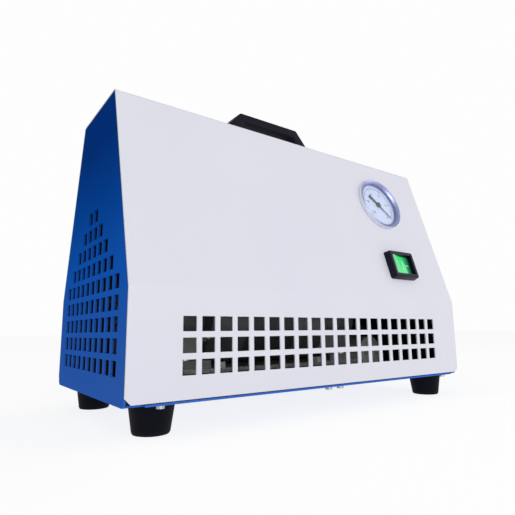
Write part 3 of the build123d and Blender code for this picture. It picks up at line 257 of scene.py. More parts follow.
# Cover: one folded steel sheet, powder coated a cool off-white outside; its inside faces are painted near
# black as painted shade, for the dark inside seen through the vents. The coat has a fine orange-peel grain
# with soft clouds in its tone.
COVER_T = 0.0015
INNER_SHARE = 0.7
SLOPE_NORMAL = Vector(joints["pointer_turn"]["axis"])
panel_reach = Vector(joints["pointer_turn"]["pos_m"]).dot(SLOPE_NORMAL)
BACK_NORMAL = Vector(joints["regulator_turn"]["axis"])
back_reach = Vector(joints["regulator_turn"]["pos_m"]).dot(BACK_NORMAL)
cover_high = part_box("cover_shell")[1]
cover_coat = Finish("white_powder_coat")
upright_depth = cover_high.y - abs(cover_coat.axis("Y"))
top_depth = cover_high.z - cover_coat.axis("Z")
slope_depth = panel_reach - cover_coat.along(tuple(SLOPE_NORMAL))
back_depth = back_reach - cover_coat.along(tuple(BACK_NORMAL))
upper_depth = upright_depth.math("MINIMUM", top_depth)
cover_depth = upper_depth.math("MINIMUM", slope_depth).math("MINIMUM", back_depth)
cover_inside_painted_shade = cover_depth > COVER_T * INNER_SHARE
peel = cover_coat.noise(650.0, 1.5)
grain = cover_coat.noise(2600.0, 1.0)
cloud = cover_coat.noise(9.0, 2.0)
outer_white = cover_coat.mix(cover_coat.spread(cloud), (0.725, 0.730, 0.810), (0.745, 0.750, 0.825))
# Inside faces get a near-black colour: painted shade, not the coat's own colour.
cover_color = cover_coat.mix(cover_inside_painted_shade, outer_white, (0.030, 0.029, 0.026))
cover_coat.surface(
    Base_Color=cover_color, Roughness=cover_coat.spread(peel, 0.46, 0.58), Specular_IOR_Level=0.25,
    Normal=cover_coat.bump(grain, 0.08, 0.0001, cover_coat.bump(peel, 0.10, 0.0002)))
cover_coat.on("cover_shell")

# Tray: base and both ends folded from one sheet, powder coated a matt signal blue, painted paler low down and
# darker towards the top as painted light and shade. The vents are punched in the left end, and its inner
# faces are painted near black as painted shade.
TRAY_T = 0.002
tray_coat = Finish("blue_powder_coat")
tray_peel = tray_coat.noise(650.0, 1.5)
tray_grain = tray_coat.noise(2600.0, 1.0)
tray_low, tray_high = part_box("base_tray")
end_depth = tray_high.x - abs(tray_coat.axis("X"))
base_depth = tray_coat.axis("Z") - tray_low.z
tray_inside_painted_shade = end_depth.math("MINIMUM", base_depth) > TRAY_T * INNER_SHARE
coat_cloud = tray_coat.spread(tray_coat.noise(7.0, 2.0), -0.04, 0.04)
# The blue is painted darker with height: painted light and shade on a coat that is one even colour.
tray_blue_painted_shade = tray_coat.ramp(
    tray_coat.span(tray_coat.axis("Z"), 0.02, 0.245) + coat_cloud, (0.0, (0.034, 0.140, 0.56)),
    (0.38, (0.008, 0.117, 0.58)), (0.62, (0.003, 0.074, 0.40)), (0.85, (0.002, 0.041, 0.25)))
# Inner faces get a near-black colour: painted shade for the dark inside seen through the vents.
tray_coat.surface(
    Base_Color=tray_coat.mix(tray_inside_painted_shade, tray_blue_painted_shade, (0.020, 0.019, 0.017)),
    Roughness=tray_coat.spread(tray_peel, 0.50, 0.62), Specular_IOR_Level=0.0,
    Normal=tray_coat.bump(tray_grain, 0.08, 0.0001, tray_coat.bump(tray_peel, 0.10, 0.0002)))
tray_coat.on("base_tray")


# Feet: four black rubber buttons, wider at the top, moulded with a rounded rolling edge at the
# floor and a thin flange against the tray. Each one is held by a sunk screw.
def stand(origin, z=(0, 0, 1), x=(1, 0, 0)):
    """Matrix that carries a shape drawn at the origin to a place, with its Z along z."""
    up = Vector(z).normalized()
    side = up.cross(Vector(x)).normalized()
    place = Matrix((side.cross(up), side, up)).transposed().to_4x4()
    place.translation = Vector(origin)
    return place


def lathe(profile, steps=64):
    """Shape turned about Z from a closed outline of (radius, height) points."""
    shape = bmesh.new()
    corners = [shape.verts.new((radius, 0, height)) for radius, height in profile]
    for here, there in zip(corners, corners[1:] + corners[:1]):
        shape.edges.new((here, there))
    bmesh.ops.spin(shape, geom=shape.verts[:] + shape.edges[:], cent=(0, 0, 0), axis=(0, 0, 1),
                   angle=math.tau, steps=steps, use_merge=True)
    bmesh.ops.remove_doubles(shape, verts=shape.verts, dist=1e-6)
    return shape


def join(shape, other, place):
    """Add a copy of another shape at a place."""
    copy = bpy.data.meshes.new("copy")
    other.to_mesh(copy)
    copy.transform(place)
    shape.from_mesh(copy)
    bpy.data.meshes.remove(copy)


def piece(name, shape, finish, body, replaced=(), sharp=35.0):
    """Finished object at the origin that rides on a body and stands for the named CAD nodes."""
    bmesh.ops.recalc_face_normals(shape, faces=shape.faces)
    mesh = bpy.data.meshes.new(name)
    shape.to_mesh(mesh)
    shape.free()
    mesh.materials.append(finish.material)
    mesh.polygons.foreach_set("use_smooth", [True] * len(mesh.polygons))
    mesh.set_sharp_from_angle(angle=math.radians(sharp))
    made = bpy.data.objects.new(name, mesh)
    bpy.context.scene.collection.objects.link(made)
    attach(made, body)
    if replaced:
        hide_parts(*replaced)


FOOT_TOP_R = 0.0155
FOOT_LOW_R = 0.0125
FOOT_H = 0.020
FOOT_RECESS_R = 0.0065
FOOT_RECESS = 0.010
FOOT_SCREW_R = 0.0025
FOOT_ROLL = 0.0015
FOOT_CHAMFER = 0.0004
FOOT_FLANGE = 0.0012
FOOT_SEAT = FOOT_H - 0.0001
foot_shape = lathe([
    (FOOT_RECESS_R, FOOT_CHAMFER), (FOOT_RECESS_R + FOOT_CHAMFER, 0), (FOOT_LOW_R - FOOT_ROLL, 0),
    (FOOT_LOW_R - FOOT_ROLL * 0.4, FOOT_ROLL * 0.16), (FOOT_LOW_R + 0.0001, FOOT_ROLL),
    (FOOT_TOP_R - 0.0003, FOOT_H - FOOT_FLANGE), (FOOT_TOP_R, FOOT_H - 0.0008), (FOOT_TOP_R, FOOT_SEAT),
    (FOOT_SCREW_R, FOOT_SEAT), (FOOT_SCREW_R, FOOT_RECESS), (FOOT_RECESS_R, FOOT_RECESS)])
feet_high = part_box("rubber_feet")[1]
feet = bmesh.new()
foot_x = feet_high.x - FOOT_TOP_R
foot_y = feet_high.y - FOOT_TOP_R
for x in (-foot_x, foot_x):
    for y in (-foot_y, foot_y):
        join(feet, foot_shape, Matrix.Translation((x, y, 0)))
foot_shape.free()
rubber = Finish("black_rubber")
skin = rubber.noise(1400.0, 3.0)
dust = rubber.span(rubber.axis("Z"), 0.0, 0.004, 0.6, 0.0) * rubber.noise(420.0, 4.0)
rubber.surface(
    Base_Color=rubber.mix(dust, (0.0035, 0.0035, 0.0085), (0.018, 0.017, 0.021)), Specular_IOR_Level=0.08,
    Roughness=rubber.spread(skin, 0.48, 0.62), Normal=rubber.bump(skin, 0.12, 0.0001))
piece("feet_rubber", feet, rubber, "case", ["rubber_feet"])
rubber.on("vibration_mounts")

# Handle: moulded black bridge with two sloped legs, its edges rounded, with a fine spark-eroded
# grain. It is screwed on from inside the case, and the regulator's knob is the same moulding.
HANDLE_TOP = 0.071
HANDLE_RUN = 0.029
HANDLE_BAR = 0.009
HANDLE_EDGE = 0.0016
TINY = 1e-6
handle_low, handle_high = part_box("carry_handle")
handle_x = (handle_low.x + handle_high.x) / 2
handle_h = handle_high.z - handle_low.z
leg_turn = math.atan2(handle_h, HANDLE_RUN)
half_foot = HANDLE_TOP / 2 + HANDLE_RUN
inner_top = HANDLE_TOP / 2 - HANDLE_BAR * math.tan(leg_turn / 2)
inner_foot = half_foot - 2 * HANDLE_BAR
handle = bmesh.new()
outline = [
    (-half_foot, 0), (-HANDLE_TOP / 2, handle_h), (HANDLE_TOP / 2, handle_h), (half_foot, 0), (inner_foot, 0),
    (inner_top, handle_h - HANDLE_BAR), (-inner_top, handle_h - HANDLE_BAR), (-inner_foot, 0)]


def moved_end(drawn):
    """Vertices of an extrusion's new end."""
    return [item for item in drawn["geom"] if isinstance(item, bmesh.types.BMVert)]


face = handle.faces.new([handle.verts.new((x, handle_low.y, z)) for x, z in outline])
drawn = bmesh.ops.extrude_face_region(handle, geom=[face])
bmesh.ops.translate(handle, vec=(0, handle_high.y - handle_low.y, 0), verts=moved_end(drawn))
bmesh.ops.recalc_face_normals(handle, faces=handle.faces)
upper = []
for edge in handle.edges:
    first, second = (vert.co for vert in edge.verts)
    rises = max(first.z, second.z) > TINY
    runs_up = min(first.z, second.z) < TINY and abs(first.x - second.x) < TINY
    if rises and not runs_up:
        upper.append(edge)
bmesh.ops.bevel(handle, geom=upper, affect="EDGES", offset=HANDLE_EDGE, segments=3, profile=0.5, material=-1)
bmesh.ops.translate(handle, vec=(handle_x, 0, handle_low.z), verts=handle.verts)
moulding = Finish("black_moulding")
spark = moulding.noise(1900.0, 3.0)
moulding.surface(
    Base_Color=moulding.mix(moulding.noise(60.0, 3.0), (0.0065, 0.0060, 0.013), (0.009, 0.008, 0.016)),
    Specular_IOR_Level=0.12,
    Roughness=moulding.spread(spark, 0.40, 0.54), Normal=moulding.bump(spark, 0.15, 0.0001))
piece("handle_moulding", handle, moulding, "case", ["carry_handle"], sharp=25.0)
moulding.on("regulator_knob")

# Gauge: a 58 mm panel gauge whose bright bezel turns inwards as a funnel and runs down to a white
# enamelled dial as a sleeve. A flat lens is held in the sleeve, just above the pointer.
gauge = stand(joints["pointer_turn"]["pos_m"], joints["pointer_turn"]["axis"])
BEZEL_R = 0.029
BEZEL_H = 0.004
RIM_R = 0.0275
SLEEVE_R = 0.0240
SLEEVE_FOOT = -0.0009
FUNNEL_FOOT = 0.0020
RIM_TOP = 0.0016
PANEL_GAP = 0.0001
LENS_FOOT = 0.0009
LENS_TOP = 0.0015
lens_r = SLEEVE_R + 0.0001
bezel = lathe([
    (RIM_R, PANEL_GAP), (BEZEL_R - 0.0002, PANEL_GAP), (BEZEL_R, 0.0003), (BEZEL_R, 0.0034),
    (BEZEL_R - 0.0002, 0.0038), (BEZEL_R - 0.0005, BEZEL_H), (BEZEL_R - 0.0008, BEZEL_H - 0.0001),
    (SLEEVE_R + 0.0005, FUNNEL_FOOT), (SLEEVE_R + 0.0002, 0.0017), (SLEEVE_R, SLEEVE_FOOT),
    (SLEEVE_R + 0.0008, SLEEVE_FOOT), (SLEEVE_R + 0.0010, RIM_TOP), (RIM_R, RIM_TOP)], steps=128)
bmesh.ops.transform(bezel, matrix=gauge, verts=bezel.verts)
chrome = Finish("bezel_chrome")
spun = chrome.noise(900.0, 2.0, stretch=(0.2, 1, 1))
dial_right, dial_up = gauge.to_3x3().col[0], gauge.to_3x3().col[1]
off_right = chrome.along(tuple(dial_right)) - gauge.translation.dot(dial_right)
off_up = chrome.along(tuple(dial_up)) - gauge.translation.dot(dial_up)
ring_square = off_right * off_right + off_up * off_up
# The bezel's colour is painted reflection and shade by radius: lilac blue, darker down the funnel towards the
# sleeve, and pale on the outer wall, standing in for the white surround.
funnel_painted_reflection = chrome.ramp(
    chrome.span(ring_square, SLEEVE_R ** 2, BEZEL_R ** 2), (0.0, (0.16, 0.17, 0.36)),
    (0.12, (0.30, 0.33, 0.60)), (0.55, (0.40, 0.44, 0.74)), (0.90, (0.46, 0.50, 0.80)),
    (0.97, (0.80, 0.81, 0.92)))
chrome.surface(
    Base_Color=funnel_painted_reflection, Metallic=0.75, Roughness=chrome.spread(spun, 0.22, 0.34))
piece("bezel_ring", bezel, chrome, "case", ["gauge_bezel"])

lens = lathe([(0.0, LENS_FOOT), (lens_r, LENS_FOOT), (lens_r, LENS_TOP), (0.0, LENS_TOP)], steps=96)
bmesh.ops.transform(lens, matrix=gauge, verts=lens.verts)
glass = Finish("lens_glass")
clear = glass.add("ShaderNodeBsdfTransparent", None, {"Color": (0.96, 0.975, 1.0, 1)})
glare = glass.add("ShaderNodeLayerWeight", None, {"Blend": 0.18}, "Fresnel")
smear = glass.span(glass.noise(90.0, 3.0), 0.4, 0.8, 0.0, 0.02)
glass.surface(Base_Color=(1, 1, 1, 1), Roughness=0.04, Specular_IOR_Level=0.5)
shine = Socket(glass, glass.shader.outputs["BSDF"])
glass.feed(glass.tree.nodes["Material Output"],
           {"Surface": glass.add("ShaderNodeMixShader", None, {0: glare * 0.1 + smear, 1: clear, 2: shine})})
piece("lens_disc", lens, glass, "case", ["gauge_lens"])

enamel = Finish("dial_enamel")
enamel.surface(
    Base_Color=enamel.mix(enamel.noise(120.0, 3.0), (0.70, 0.75, 0.93), (0.76, 0.80, 0.96)), Roughness=0.35,
    Normal=enamel.bump(enamel.noise(900.0, 2.0), 0.04, 0.0001))
enamel.on("gauge_dial")

# Dial print: the scale's arc, its long and short strokes, and plain numbers round it, in dark blue
# grey ink that lies a hair above the enamel; a stop pin stands at the zero end.
DIAL_FACE = -0.0010
PRINT_Z = DIAL_FACE + 0.00006
SCALE_R = 0.0205
ARC_W = 0.0003
SCALE_ZERO = math.radians(-45.0)
SCALE_SWEEP = math.radians(270.0)
STROKES = 50
LONG_EVERY = 10
HALF_EVERY = 5
LONG_STROKE = (0.0036, 0.00042)
HALF_STROKE = (0.0026, 0.00030)
SHORT_STROKE = (0.0016, 0.00020)
print_shape = bmesh.new()


def stroke(angle, length, width):
    """Flat bar on the dial along a radius, with its outer end on the scale's arc."""
    made = bmesh.ops.create_grid(print_shape, x_segments=1, y_segments=1, size=0.5)
    bmesh.ops.scale(print_shape, vec=(length, width, 1), verts=made["verts"])
    bmesh.ops.translate(print_shape, vec=(SCALE_R - length / 2, 0, PRINT_Z), verts=made["verts"])
    bmesh.ops.rotate(print_shape, cent=(0, 0, 0), matrix=Matrix.Rotation(angle, 3, "Z"), verts=made["verts"])


for step in range(STROKES + 1):
    turn = SCALE_ZERO + SCALE_SWEEP * step / STROKES
    if step % LONG_EVERY == 0:
        stroke(turn, *LONG_STROKE)
    elif step % HALF_EVERY == 0:
        stroke(turn, *HALF_STROKE)
    else:
        stroke(turn, *SHORT_STROKE)
ends = [print_shape.verts.new((radius, 0, PRINT_Z)) for radius in (SCALE_R, SCALE_R + ARC_W)]
edge = print_shape.edges.new(ends)
bmesh.ops.rotate(print_shape, cent=(0, 0, 0), matrix=Matrix.Rotation(SCALE_ZERO, 3, "Z"), verts=ends)
bmesh.ops.spin(print_shape, geom=[*ends, edge], cent=(0, 0, 0), axis=(0, 0, 1), angle=SCALE_SWEEP, steps=90)
bmesh.ops.transform(print_shape, matrix=gauge, verts=print_shape.verts)
ink = Finish("dial_ink")
ink.surface(Base_Color=ink.mix(ink.noise(800.0, 2.0), (0.10, 0.11, 0.18), (0.16, 0.17, 0.25)), Roughness=0.5)
piece("dial_strokes", print_shape, ink, "case")

NUMBER_R = 0.0138
NUMBER_SIZE = 0.0036
numbers = bmesh.new()
for index, text in enumerate(("0", "20", "40", "60", "80", "100")):
    curve = bpy.data.curves.new("number", "FONT")
    curve.body = text
    curve.size = NUMBER_SIZE
    curve.align_x = "CENTER"
    curve.align_y = "CENTER"
    holder = bpy.data.objects.new("number", curve)
    bpy.context.scene.collection.objects.link(holder)
    bpy.context.view_layer.update()
    flat = bpy.data.meshes.new_from_object(holder.evaluated_get(bpy.context.evaluated_depsgraph_get()))
    turn = SCALE_ZERO + SCALE_SWEEP * index * LONG_EVERY / STROKES
    flat.transform(Matrix.Translation((NUMBER_R * math.cos(turn), NUMBER_R * math.sin(turn), PRINT_Z)))
    flat.transform(gauge)
    numbers.from_mesh(flat)
    bpy.data.objects.remove(holder)
    bpy.data.meshes.remove(flat)
piece("dial_numbers", numbers, ink, "case")

PIN_R = 0.0008
PIN_TOP = DIAL_FACE + 0.0007
PIN_ORBIT = 0.0165
pin_turn = SCALE_ZERO - math.radians(9.0)
stop_pin = lathe([(0.0, DIAL_FACE), (PIN_R, DIAL_FACE), (PIN_R, PIN_TOP - 0.0002), (PIN_R - 0.0003, PIN_TOP),
                  (0.0, PIN_TOP)], steps=20)
bmesh.ops.translate(stop_pin, vec=(PIN_ORBIT * math.cos(pin_turn), PIN_ORBIT * math.sin(pin_turn), 0),
                    verts=stop_pin.verts)
bmesh.ops.transform(stop_pin, matrix=gauge, verts=stop_pin.verts)
piece("dial_stop_pin", stop_pin, ink, "case")

# Pointer: blanked from thin sheet and painted near black; it is coloured near black at its hub and wide tail
# and lighter slate grey towards its tip, as painted light for the thin tip's shading. A turned cap in the
# same paint covers the end of the spindle.
POINTER_REST = math.radians(-42.0)
needle_paint = Finish("pointer_paint")
tip_way = gauge.to_3x3() @ Vector((math.cos(POINTER_REST), math.sin(POINTER_REST), 0))
hub_at = Vector(joints["pointer_turn"]["pos_m"]).dot(tip_way)
out_along = needle_paint.along(tuple(tip_way)) - hub_at
# The lighter grey towards the tip is painted light, not a second paint.
tip_painted_light = needle_paint.span(out_along, 0.0022, 0.0040)
needle_paint.surface(
    Base_Color=needle_paint.mix(tip_painted_light, (0.004, 0.003, 0.016), (0.09, 0.10, 0.20)),
    Roughness=needle_paint.spread(needle_paint.noise(700.0), 0.35, 0.5))
needle_paint.on("gauge_pointer")

HUB_CAP_R = 0.0032
HUB_CAP_FOOT = 0.00005
HUB_CAP_TOP = 0.0007
hub_cap = lathe([(0.0, HUB_CAP_FOOT), (HUB_CAP_R, HUB_CAP_FOOT), (HUB_CAP_R, HUB_CAP_TOP - 0.0002),
                 (HUB_CAP_R - 0.0003, HUB_CAP_TOP), (0.0, HUB_CAP_TOP)], steps=40)
bmesh.ops.transform(hub_cap, matrix=gauge, verts=hub_cap.verts)
piece("pointer_hub_cap", hub_cap, needle_paint, "pointer")

# Switch frame: a black moulding, snapped into the panel, that stands proud of it with drafted
# sides and a rounded edge. Its well is open, and the rocker works in it.
switch = stand(joints["rocker_tilt"]["pos_m"], SLOPE_NORMAL)
SWITCH_PIVOT = 0.002
SWITCH_W = 0.037
SWITCH_H = 0.0284
SWITCH_PROUD = 0.0065
WELL_W = 0.0298
WELL_H = 0.0204
WELL_D = 0.009
FRAME_CORNER = 0.0020
FRAME_DRAFT = 0.0007
FRAME_EDGE = 0.0006
FRAME_LIP = 0.0027
FRAME_GAP = 0.0001
LID_SHARE = 0.8
frame_shape = bmesh.new()
made = bmesh.ops.create_grid(frame_shape, x_segments=1, y_segments=1, size=0.5)
bmesh.ops.scale(frame_shape, vec=(SWITCH_W, SWITCH_H, 1), verts=made["verts"])
bmesh.ops.bevel(frame_shape, geom=frame_shape.verts[:], affect="VERTICES", offset=FRAME_CORNER, segments=5,
                profile=0.5, material=-1)
rim = bmesh.ops.extrude_face_region(frame_shape, geom=frame_shape.faces[:])
top_face = [item for item in rim["geom"] if isinstance(item, bmesh.types.BMFace)][0]
bmesh.ops.translate(frame_shape, vec=(0, 0, SWITCH_PROUD), verts=moved_end(rim))
bmesh.ops.scale(frame_shape, vec=(1 - FRAME_DRAFT / SWITCH_W * 2, 1 - FRAME_DRAFT / SWITCH_H * 2, 1),
                verts=moved_end(rim))
bmesh.ops.bevel(frame_shape, geom=top_face.edges[:], affect="EDGES", offset=FRAME_EDGE, segments=3,
                profile=0.5, material=-1)
flat_top = max(frame_shape.faces, key=lambda face: face.calc_center_median().z + face.calc_area())
bmesh.ops.inset_individual(frame_shape, faces=[flat_top], thickness=FRAME_LIP, depth=0.0)
for vert in flat_top.verts:
    vert.co.x = math.copysign(min(abs(vert.co.x), WELL_W / 2), vert.co.x)
    vert.co.y = math.copysign(min(abs(vert.co.y), WELL_H / 2), vert.co.y)
well = bmesh.ops.extrude_face_region(frame_shape, geom=[flat_top])
bmesh.ops.translate(frame_shape, vec=(0, 0, -SWITCH_PROUD - WELL_D), verts=moved_end(well))
mouth_lids = [face for face in frame_shape.faces if face.calc_center_median().z > SWITCH_PROUD - TINY
              and face.calc_area() > WELL_W * WELL_H * LID_SHARE]
bmesh.ops.delete(frame_shape, geom=mouth_lids, context="FACES_ONLY")
bmesh.ops.translate(frame_shape, vec=(0, 0, -SWITCH_PIVOT + FRAME_GAP), verts=frame_shape.verts)
bmesh.ops.transform(frame_shape, matrix=switch, verts=frame_shape.verts)
gloss_black = Finish("gloss_black_moulding")
gloss_black.surface(
    Base_Color=gloss_black.mix(gloss_black.noise(200.0, 3.0), (0.007, 0.005, 0.016), (0.011, 0.008, 0.023)),
    Specular_IOR_Level=0.12,
    Roughness=gloss_black.spread(gloss_black.noise(1500.0, 2.0), 0.20, 0.30))
piece("switch_surround", frame_shape, gloss_black, "case", sharp=40.0)
gloss_black.on("switch_frame")

# Rocker: a clear green moulding lit from inside, with a shallow V across its top and its right
# end pressed in. A white bar is printed on that end.
ROCKER_TILT = math.radians(9.0)
ROCKER_R = 0.0146
ROCKER_W = 0.0198
ROCKER_MID = 0.0032
ROCKER_TIP = 0.0052
ROCKER_KEEL = 0.0065
ROCKER_SHOULDER = 0.0010
ROCKER_EDGE = 0.0007
TIP_DROP = 0.0003
TIP_INSET = 0.0014
keel_r = ROCKER_R - 0.0009
shoulder_r = ROCKER_R - 0.0002
tip_r = ROCKER_R - TIP_INSET
tip_z = ROCKER_TIP - SWITCH_PIVOT - TIP_DROP
middle_z = ROCKER_MID - SWITCH_PIVOT
rocker = bmesh.new()
rocker_outline = [
    (-keel_r, -ROCKER_KEEL), (keel_r, -ROCKER_KEEL), (shoulder_r, ROCKER_SHOULDER), (tip_r, tip_z),
    (0, middle_z), (-tip_r, tip_z), (-shoulder_r, ROCKER_SHOULDER)]
side_face = rocker.faces.new([rocker.verts.new((x, -ROCKER_W / 2, z)) for x, z in rocker_outline])
drawn = bmesh.ops.extrude_face_region(rocker, geom=[side_face])
bmesh.ops.translate(rocker, vec=(0, ROCKER_W, 0), verts=moved_end(drawn))
bmesh.ops.recalc_face_normals(rocker, faces=rocker.faces)
upper = [edge for edge in rocker.edges if max(vert.co.z for vert in edge.verts) > 0]
bmesh.ops.bevel(rocker, geom=upper, affect="EDGES", offset=ROCKER_EDGE, segments=3, profile=0.5, material=-1)
bmesh.ops.rotate(rocker, cent=(0, 0, 0), matrix=Matrix.Rotation(ROCKER_TILT, 3, "Y"), verts=rocker.verts)
bmesh.ops.transform(rocker, matrix=switch, verts=rocker.verts)
lit_green = Finish("lit_green_rocker")
pivot_at = Vector(joints["rocker_tilt"]["pos_m"])
across = lit_green.axis("X") - pivot_at.x
LAMP_LEFT = 0.0015
LAMP_REACH = 0.013
glow_spot = lit_green.span(abs(across + LAMP_LEFT), 0.0, LAMP_REACH, 1.0, 0.0)
glow_cloud = lit_green.spread(lit_green.noise(160.0, 2.0), 0.85, 1.1)
# Base colour painted pale at the left end as a painted sheen and dark towards the right as painted shade; the
# glow below comes from the switch's own lamp.
rocker_painted_sheen_and_shade = lit_green.ramp(
    lit_green.span(across, -ROCKER_R, ROCKER_R), (0.0, (0.20, 0.62, 0.36)), (0.30, (0.03, 0.50, 0.14)),
    (0.75, (0.010, 0.20, 0.08)), (1.0, (0.006, 0.09, 0.045)))
green_glow = lit_green.ramp(
    glow_spot * glow_cloud, (0.0, (0.0, 0.04, 0.016)), (0.5, (0.018, 0.34, 0.095)),
    (1.0, (0.045, 0.62, 0.17)))
lit_green.surface(Base_Color=rocker_painted_sheen_and_shade, Roughness=0.12, Emission_Color=green_glow, Emission_Strength=1.0,
                  Coat_Weight=0.4)
piece("rocker_lens", rocker, lit_green, "rocker", ["switch_rocker"], sharp=30.0)

MARK_L = 0.0042
MARK_W = 0.0009
MARK_X = 0.0082
MARK_LIFT = 0.00005
mark = bmesh.new()
bar = bmesh.ops.create_grid(mark, x_segments=1, y_segments=1, size=0.5)
bmesh.ops.scale(mark, vec=(MARK_L, MARK_W, 1), verts=bar["verts"])
half_slope = math.atan2(ROCKER_TIP - ROCKER_MID - TIP_DROP, tip_r)
mark_z = middle_z + MARK_X * math.tan(half_slope) + MARK_LIFT
bmesh.ops.rotate(mark, cent=(0, 0, 0), matrix=Matrix.Rotation(-half_slope, 3, "Y"), verts=bar["verts"])
bmesh.ops.translate(mark, vec=(MARK_X, 0, mark_z), verts=bar["verts"])
bmesh.ops.rotate(mark, cent=(0, 0, 0), matrix=Matrix.Rotation(ROCKER_TILT, 3, "Y"), verts=mark.verts)
bmesh.ops.transform(mark, matrix=switch, verts=mark.verts)
white_ink = Finish("white_ink")
white_ink.surface(
    Base_Color=white_ink.mix(white_ink.noise(900.0), (0.62, 0.75, 0.68), (0.72, 0.82, 0.76)), Roughness=0.4)
piece("rocker_mark", mark, white_ink, "rocker")

# Screws and steel trim: turned and pressed steel, zinc plated, with faint blue and yellow clouds
# from the plating bath. They hold the case, feet, handle, gauge, inlet, pump and capacitor.
zinc = Finish("zinc_plate")
cloudy = zinc.noise(70.0, 3.0)
zinc.surface(
    Base_Color=zinc.ramp(
        cloudy, (0.3, (0.50, 0.52, 0.56)), (0.5, (0.60, 0.61, 0.62)), (0.7, (0.60, 0.58, 0.50))),
    Metallic=1.0, Roughness=zinc.spread(zinc.noise(1200.0, 3.0), 0.24, 0.40))
zinc.on(
    "cover_screws", "foot_screws", "hex_nuts", "handle_screws", "gauge_clamp", "gauge_clamp_nuts",
    "inlet_screws", "pump_plate", "pump_bolts", "motor_bolts", "head_screws", "eccentrics", "capacitor_clip")

# Appliance inlet and fuse drawer: matt black mouldings; the inlet is screwed to the back slope by
# its flange. Its pins, and the pump's hose nozzle, are nickel-plated brass.
socket_black = Finish("socket_black")
socket_grain = socket_black.noise(1300.0, 3.0)
socket_black.surface(
    Base_Color=socket_black.mix(socket_black.noise(90.0, 3.0), (0.012, 0.012, 0.013), (0.020, 0.020, 0.022)),
    Roughness=socket_black.spread(socket_grain, 0.38, 0.54),
    Normal=socket_black.bump(socket_grain, 0.1, 0.0001))
socket_black.on("power_inlet", "fuse_drawer")

nickel = Finish("nickel_plate")
nickel.surface(
    Base_Color=nickel.mix(nickel.noise(80.0, 3.0), (0.56, 0.54, 0.48), (0.66, 0.64, 0.58)), Metallic=1.0,
    Roughness=nickel.spread(nickel.noise(1500.0, 2.0), 0.18, 0.32))
nickel.on("inlet_pins", "vacuum_nozzle")

# Gauge socket, switch terminals and regulator stem: bare brass, turned or stamped. The gauge's
# case behind the panel is a cup drawn from thin bright steel, tinted blue-violet as a painted reflection of
# its surround.
brass = Finish("turned_brass")
brass.surface(
    Base_Color=brass.mix(brass.noise(90.0, 4.0), (0.62, 0.42, 0.15), (0.74, 0.53, 0.22)), Metallic=1.0,
    Roughness=brass.spread(brass.noise(1400.0, 2.0), 0.22, 0.38))
brass.on("gauge_socket", "switch_terminals", "regulator_stem")

gauge_steel_painted_reflection = Finish("drawn_gauge_steel")
gauge_steel_painted_reflection.surface(
    Base_Color=gauge_steel_painted_reflection.mix(gauge_steel_painted_reflection.noise(70.0, 3.0), (0.30, 0.33, 0.50), (0.38, 0.41, 0.58)),
    Metallic=0.5, Roughness=gauge_steel_painted_reflection.spread(gauge_steel_painted_reflection.noise(1100.0, 3.0), 0.32, 0.45))
gauge_steel_painted_reflection.on("gauge_case")

# Pump castings, heads and machined parts: die-cast aluminium with a sandy skin, and turned or
# milled faces with fine tool lines.
casting = Finish("die_cast_aluminium")
sand = casting.noise(1100.0, 4.0, 0.6)
stain = casting.noise(30.0, 3.0)
casting.surface(
    Base_Color=casting.mix(casting.span(stain, 0.35, 0.7), (0.16, 0.165, 0.17), (0.25, 0.25, 0.25)),
    Metallic=0.85, Roughness=casting.spread(sand, 0.42, 0.60), Normal=casting.bump(sand, 0.35, 0.0003))
casting.on("crankcase_left", "crankcase_right", "pump_heads")

machined = Finish("machined_aluminium")
lines = machined.noise(700.0, 2.0, stretch=(1, 0.06, 1))
machined.surface(
    Base_Color=machined.mix(lines, (0.42, 0.43, 0.44), (0.52, 0.53, 0.54)), Metallic=1.0,
    Roughness=machined.spread(lines, 0.26, 0.40), Normal=machined.bump(lines, 0.12, 0.0001))
machined.on(
    "vacuum_manifold", "con_rod_left", "con_rod_right", "clamp_disc_left", "clamp_disc_right", "valve_plates")

# Motor: stacked electrical steel with lacquered copper windings, round a ground steel shaft that
# runs in ball bearings. The pump's reed valves are the same bright steel.
LAMINATION_T = 0.0005
stack = Finish("stacked_laminations")
layer = stack.add("ShaderNodeMath", {"operation": "FRACT"}, {0: stack.axis("X") * (1 / LAMINATION_T)})
stack.surface(
    Base_Color=stack.mix(stack.span(layer, 0.6, 0.9), (0.12, 0.12, 0.125), (0.05, 0.045, 0.04)), Metallic=0.8,
    Roughness=stack.spread(stack.noise(300.0, 3.0), 0.4, 0.55), Normal=stack.bump(layer, 0.3, 0.0001))
stack.on("stator_core", "rotor_core")

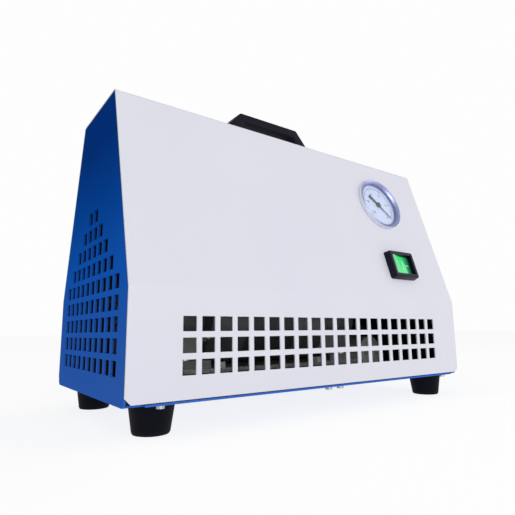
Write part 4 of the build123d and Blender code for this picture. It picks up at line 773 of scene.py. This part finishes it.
copper = Finish("lacquered_copper")
strands = copper.noise(900.0, 2.0, stretch=(1, 0.2, 0.2))
copper.surface(
    Base_Color=copper.mix(strands, (0.26, 0.07, 0.025), (0.50, 0.17, 0.06)), Metallic=0.7,
    Roughness=copper.spread(strands, 0.25, 0.4), Normal=copper.bump(strands, 0.5, 0.0004), Coat_Weight=0.3)
copper.on("stator_windings")

ground = Finish("ground_steel")
ring_lines = ground.noise(1200.0, 2.0, stretch=(1, 0.05, 0.05))
ground.surface(
    Base_Color=ground.mix(ring_lines, (0.46, 0.46, 0.48), (0.56, 0.56, 0.58)), Metallic=1.0,
    Roughness=ground.spread(ring_lines, 0.16, 0.28))
ground.on("motor_shaft", "shaft_bearings", "rod_bearing_left", "rod_bearing_right", "reed_valves")

# Fans, silencer, fittings and hoses: fans, silencer and fittings are moulded in black nylon. The
# hoses and the two diaphragms are black rubber.
nylon = Finish("black_nylon")
nylon_grain = nylon.noise(1000.0, 3.0)
nylon.surface(
    Base_Color=nylon.mix(nylon.noise(80.0, 3.0), (0.014, 0.014, 0.015), (0.024, 0.024, 0.026)),
    Roughness=nylon.spread(nylon_grain, 0.36, 0.52), Normal=nylon.bump(nylon_grain, 0.12, 0.0001))
nylon.on("cooling_fans", "hose_fittings", "exhaust_silencer")

hose_rubber = Finish("hose_rubber")
hose_skin = hose_rubber.noise(1300.0, 3.0)
hose_rubber.surface(
    Base_Color=hose_rubber.mix(hose_rubber.noise(120.0, 3.0), (0.012, 0.012, 0.013), (0.022, 0.021, 0.021)),
    Roughness=hose_rubber.spread(hose_skin, 0.5, 0.66), Normal=hose_rubber.bump(hose_skin, 0.15, 0.0001))
hose_rubber.on("inlet_hose", "gauge_hose", "link_tube", "diaphragm_left", "diaphragm_right")

# Capacitor: a pale grey moulded can that feeds the motor's second winding. A clip of zinc-plated
# steel holds it on the tray.
shell = Finish("capacitor_shell")
shell.surface(
    Base_Color=shell.mix(shell.noise(50.0, 3.0), (0.52, 0.52, 0.50), (0.60, 0.60, 0.57)),
    Roughness=shell.spread(shell.noise(900.0, 2.0), 0.3, 0.42))
shell.on("run_capacitor")
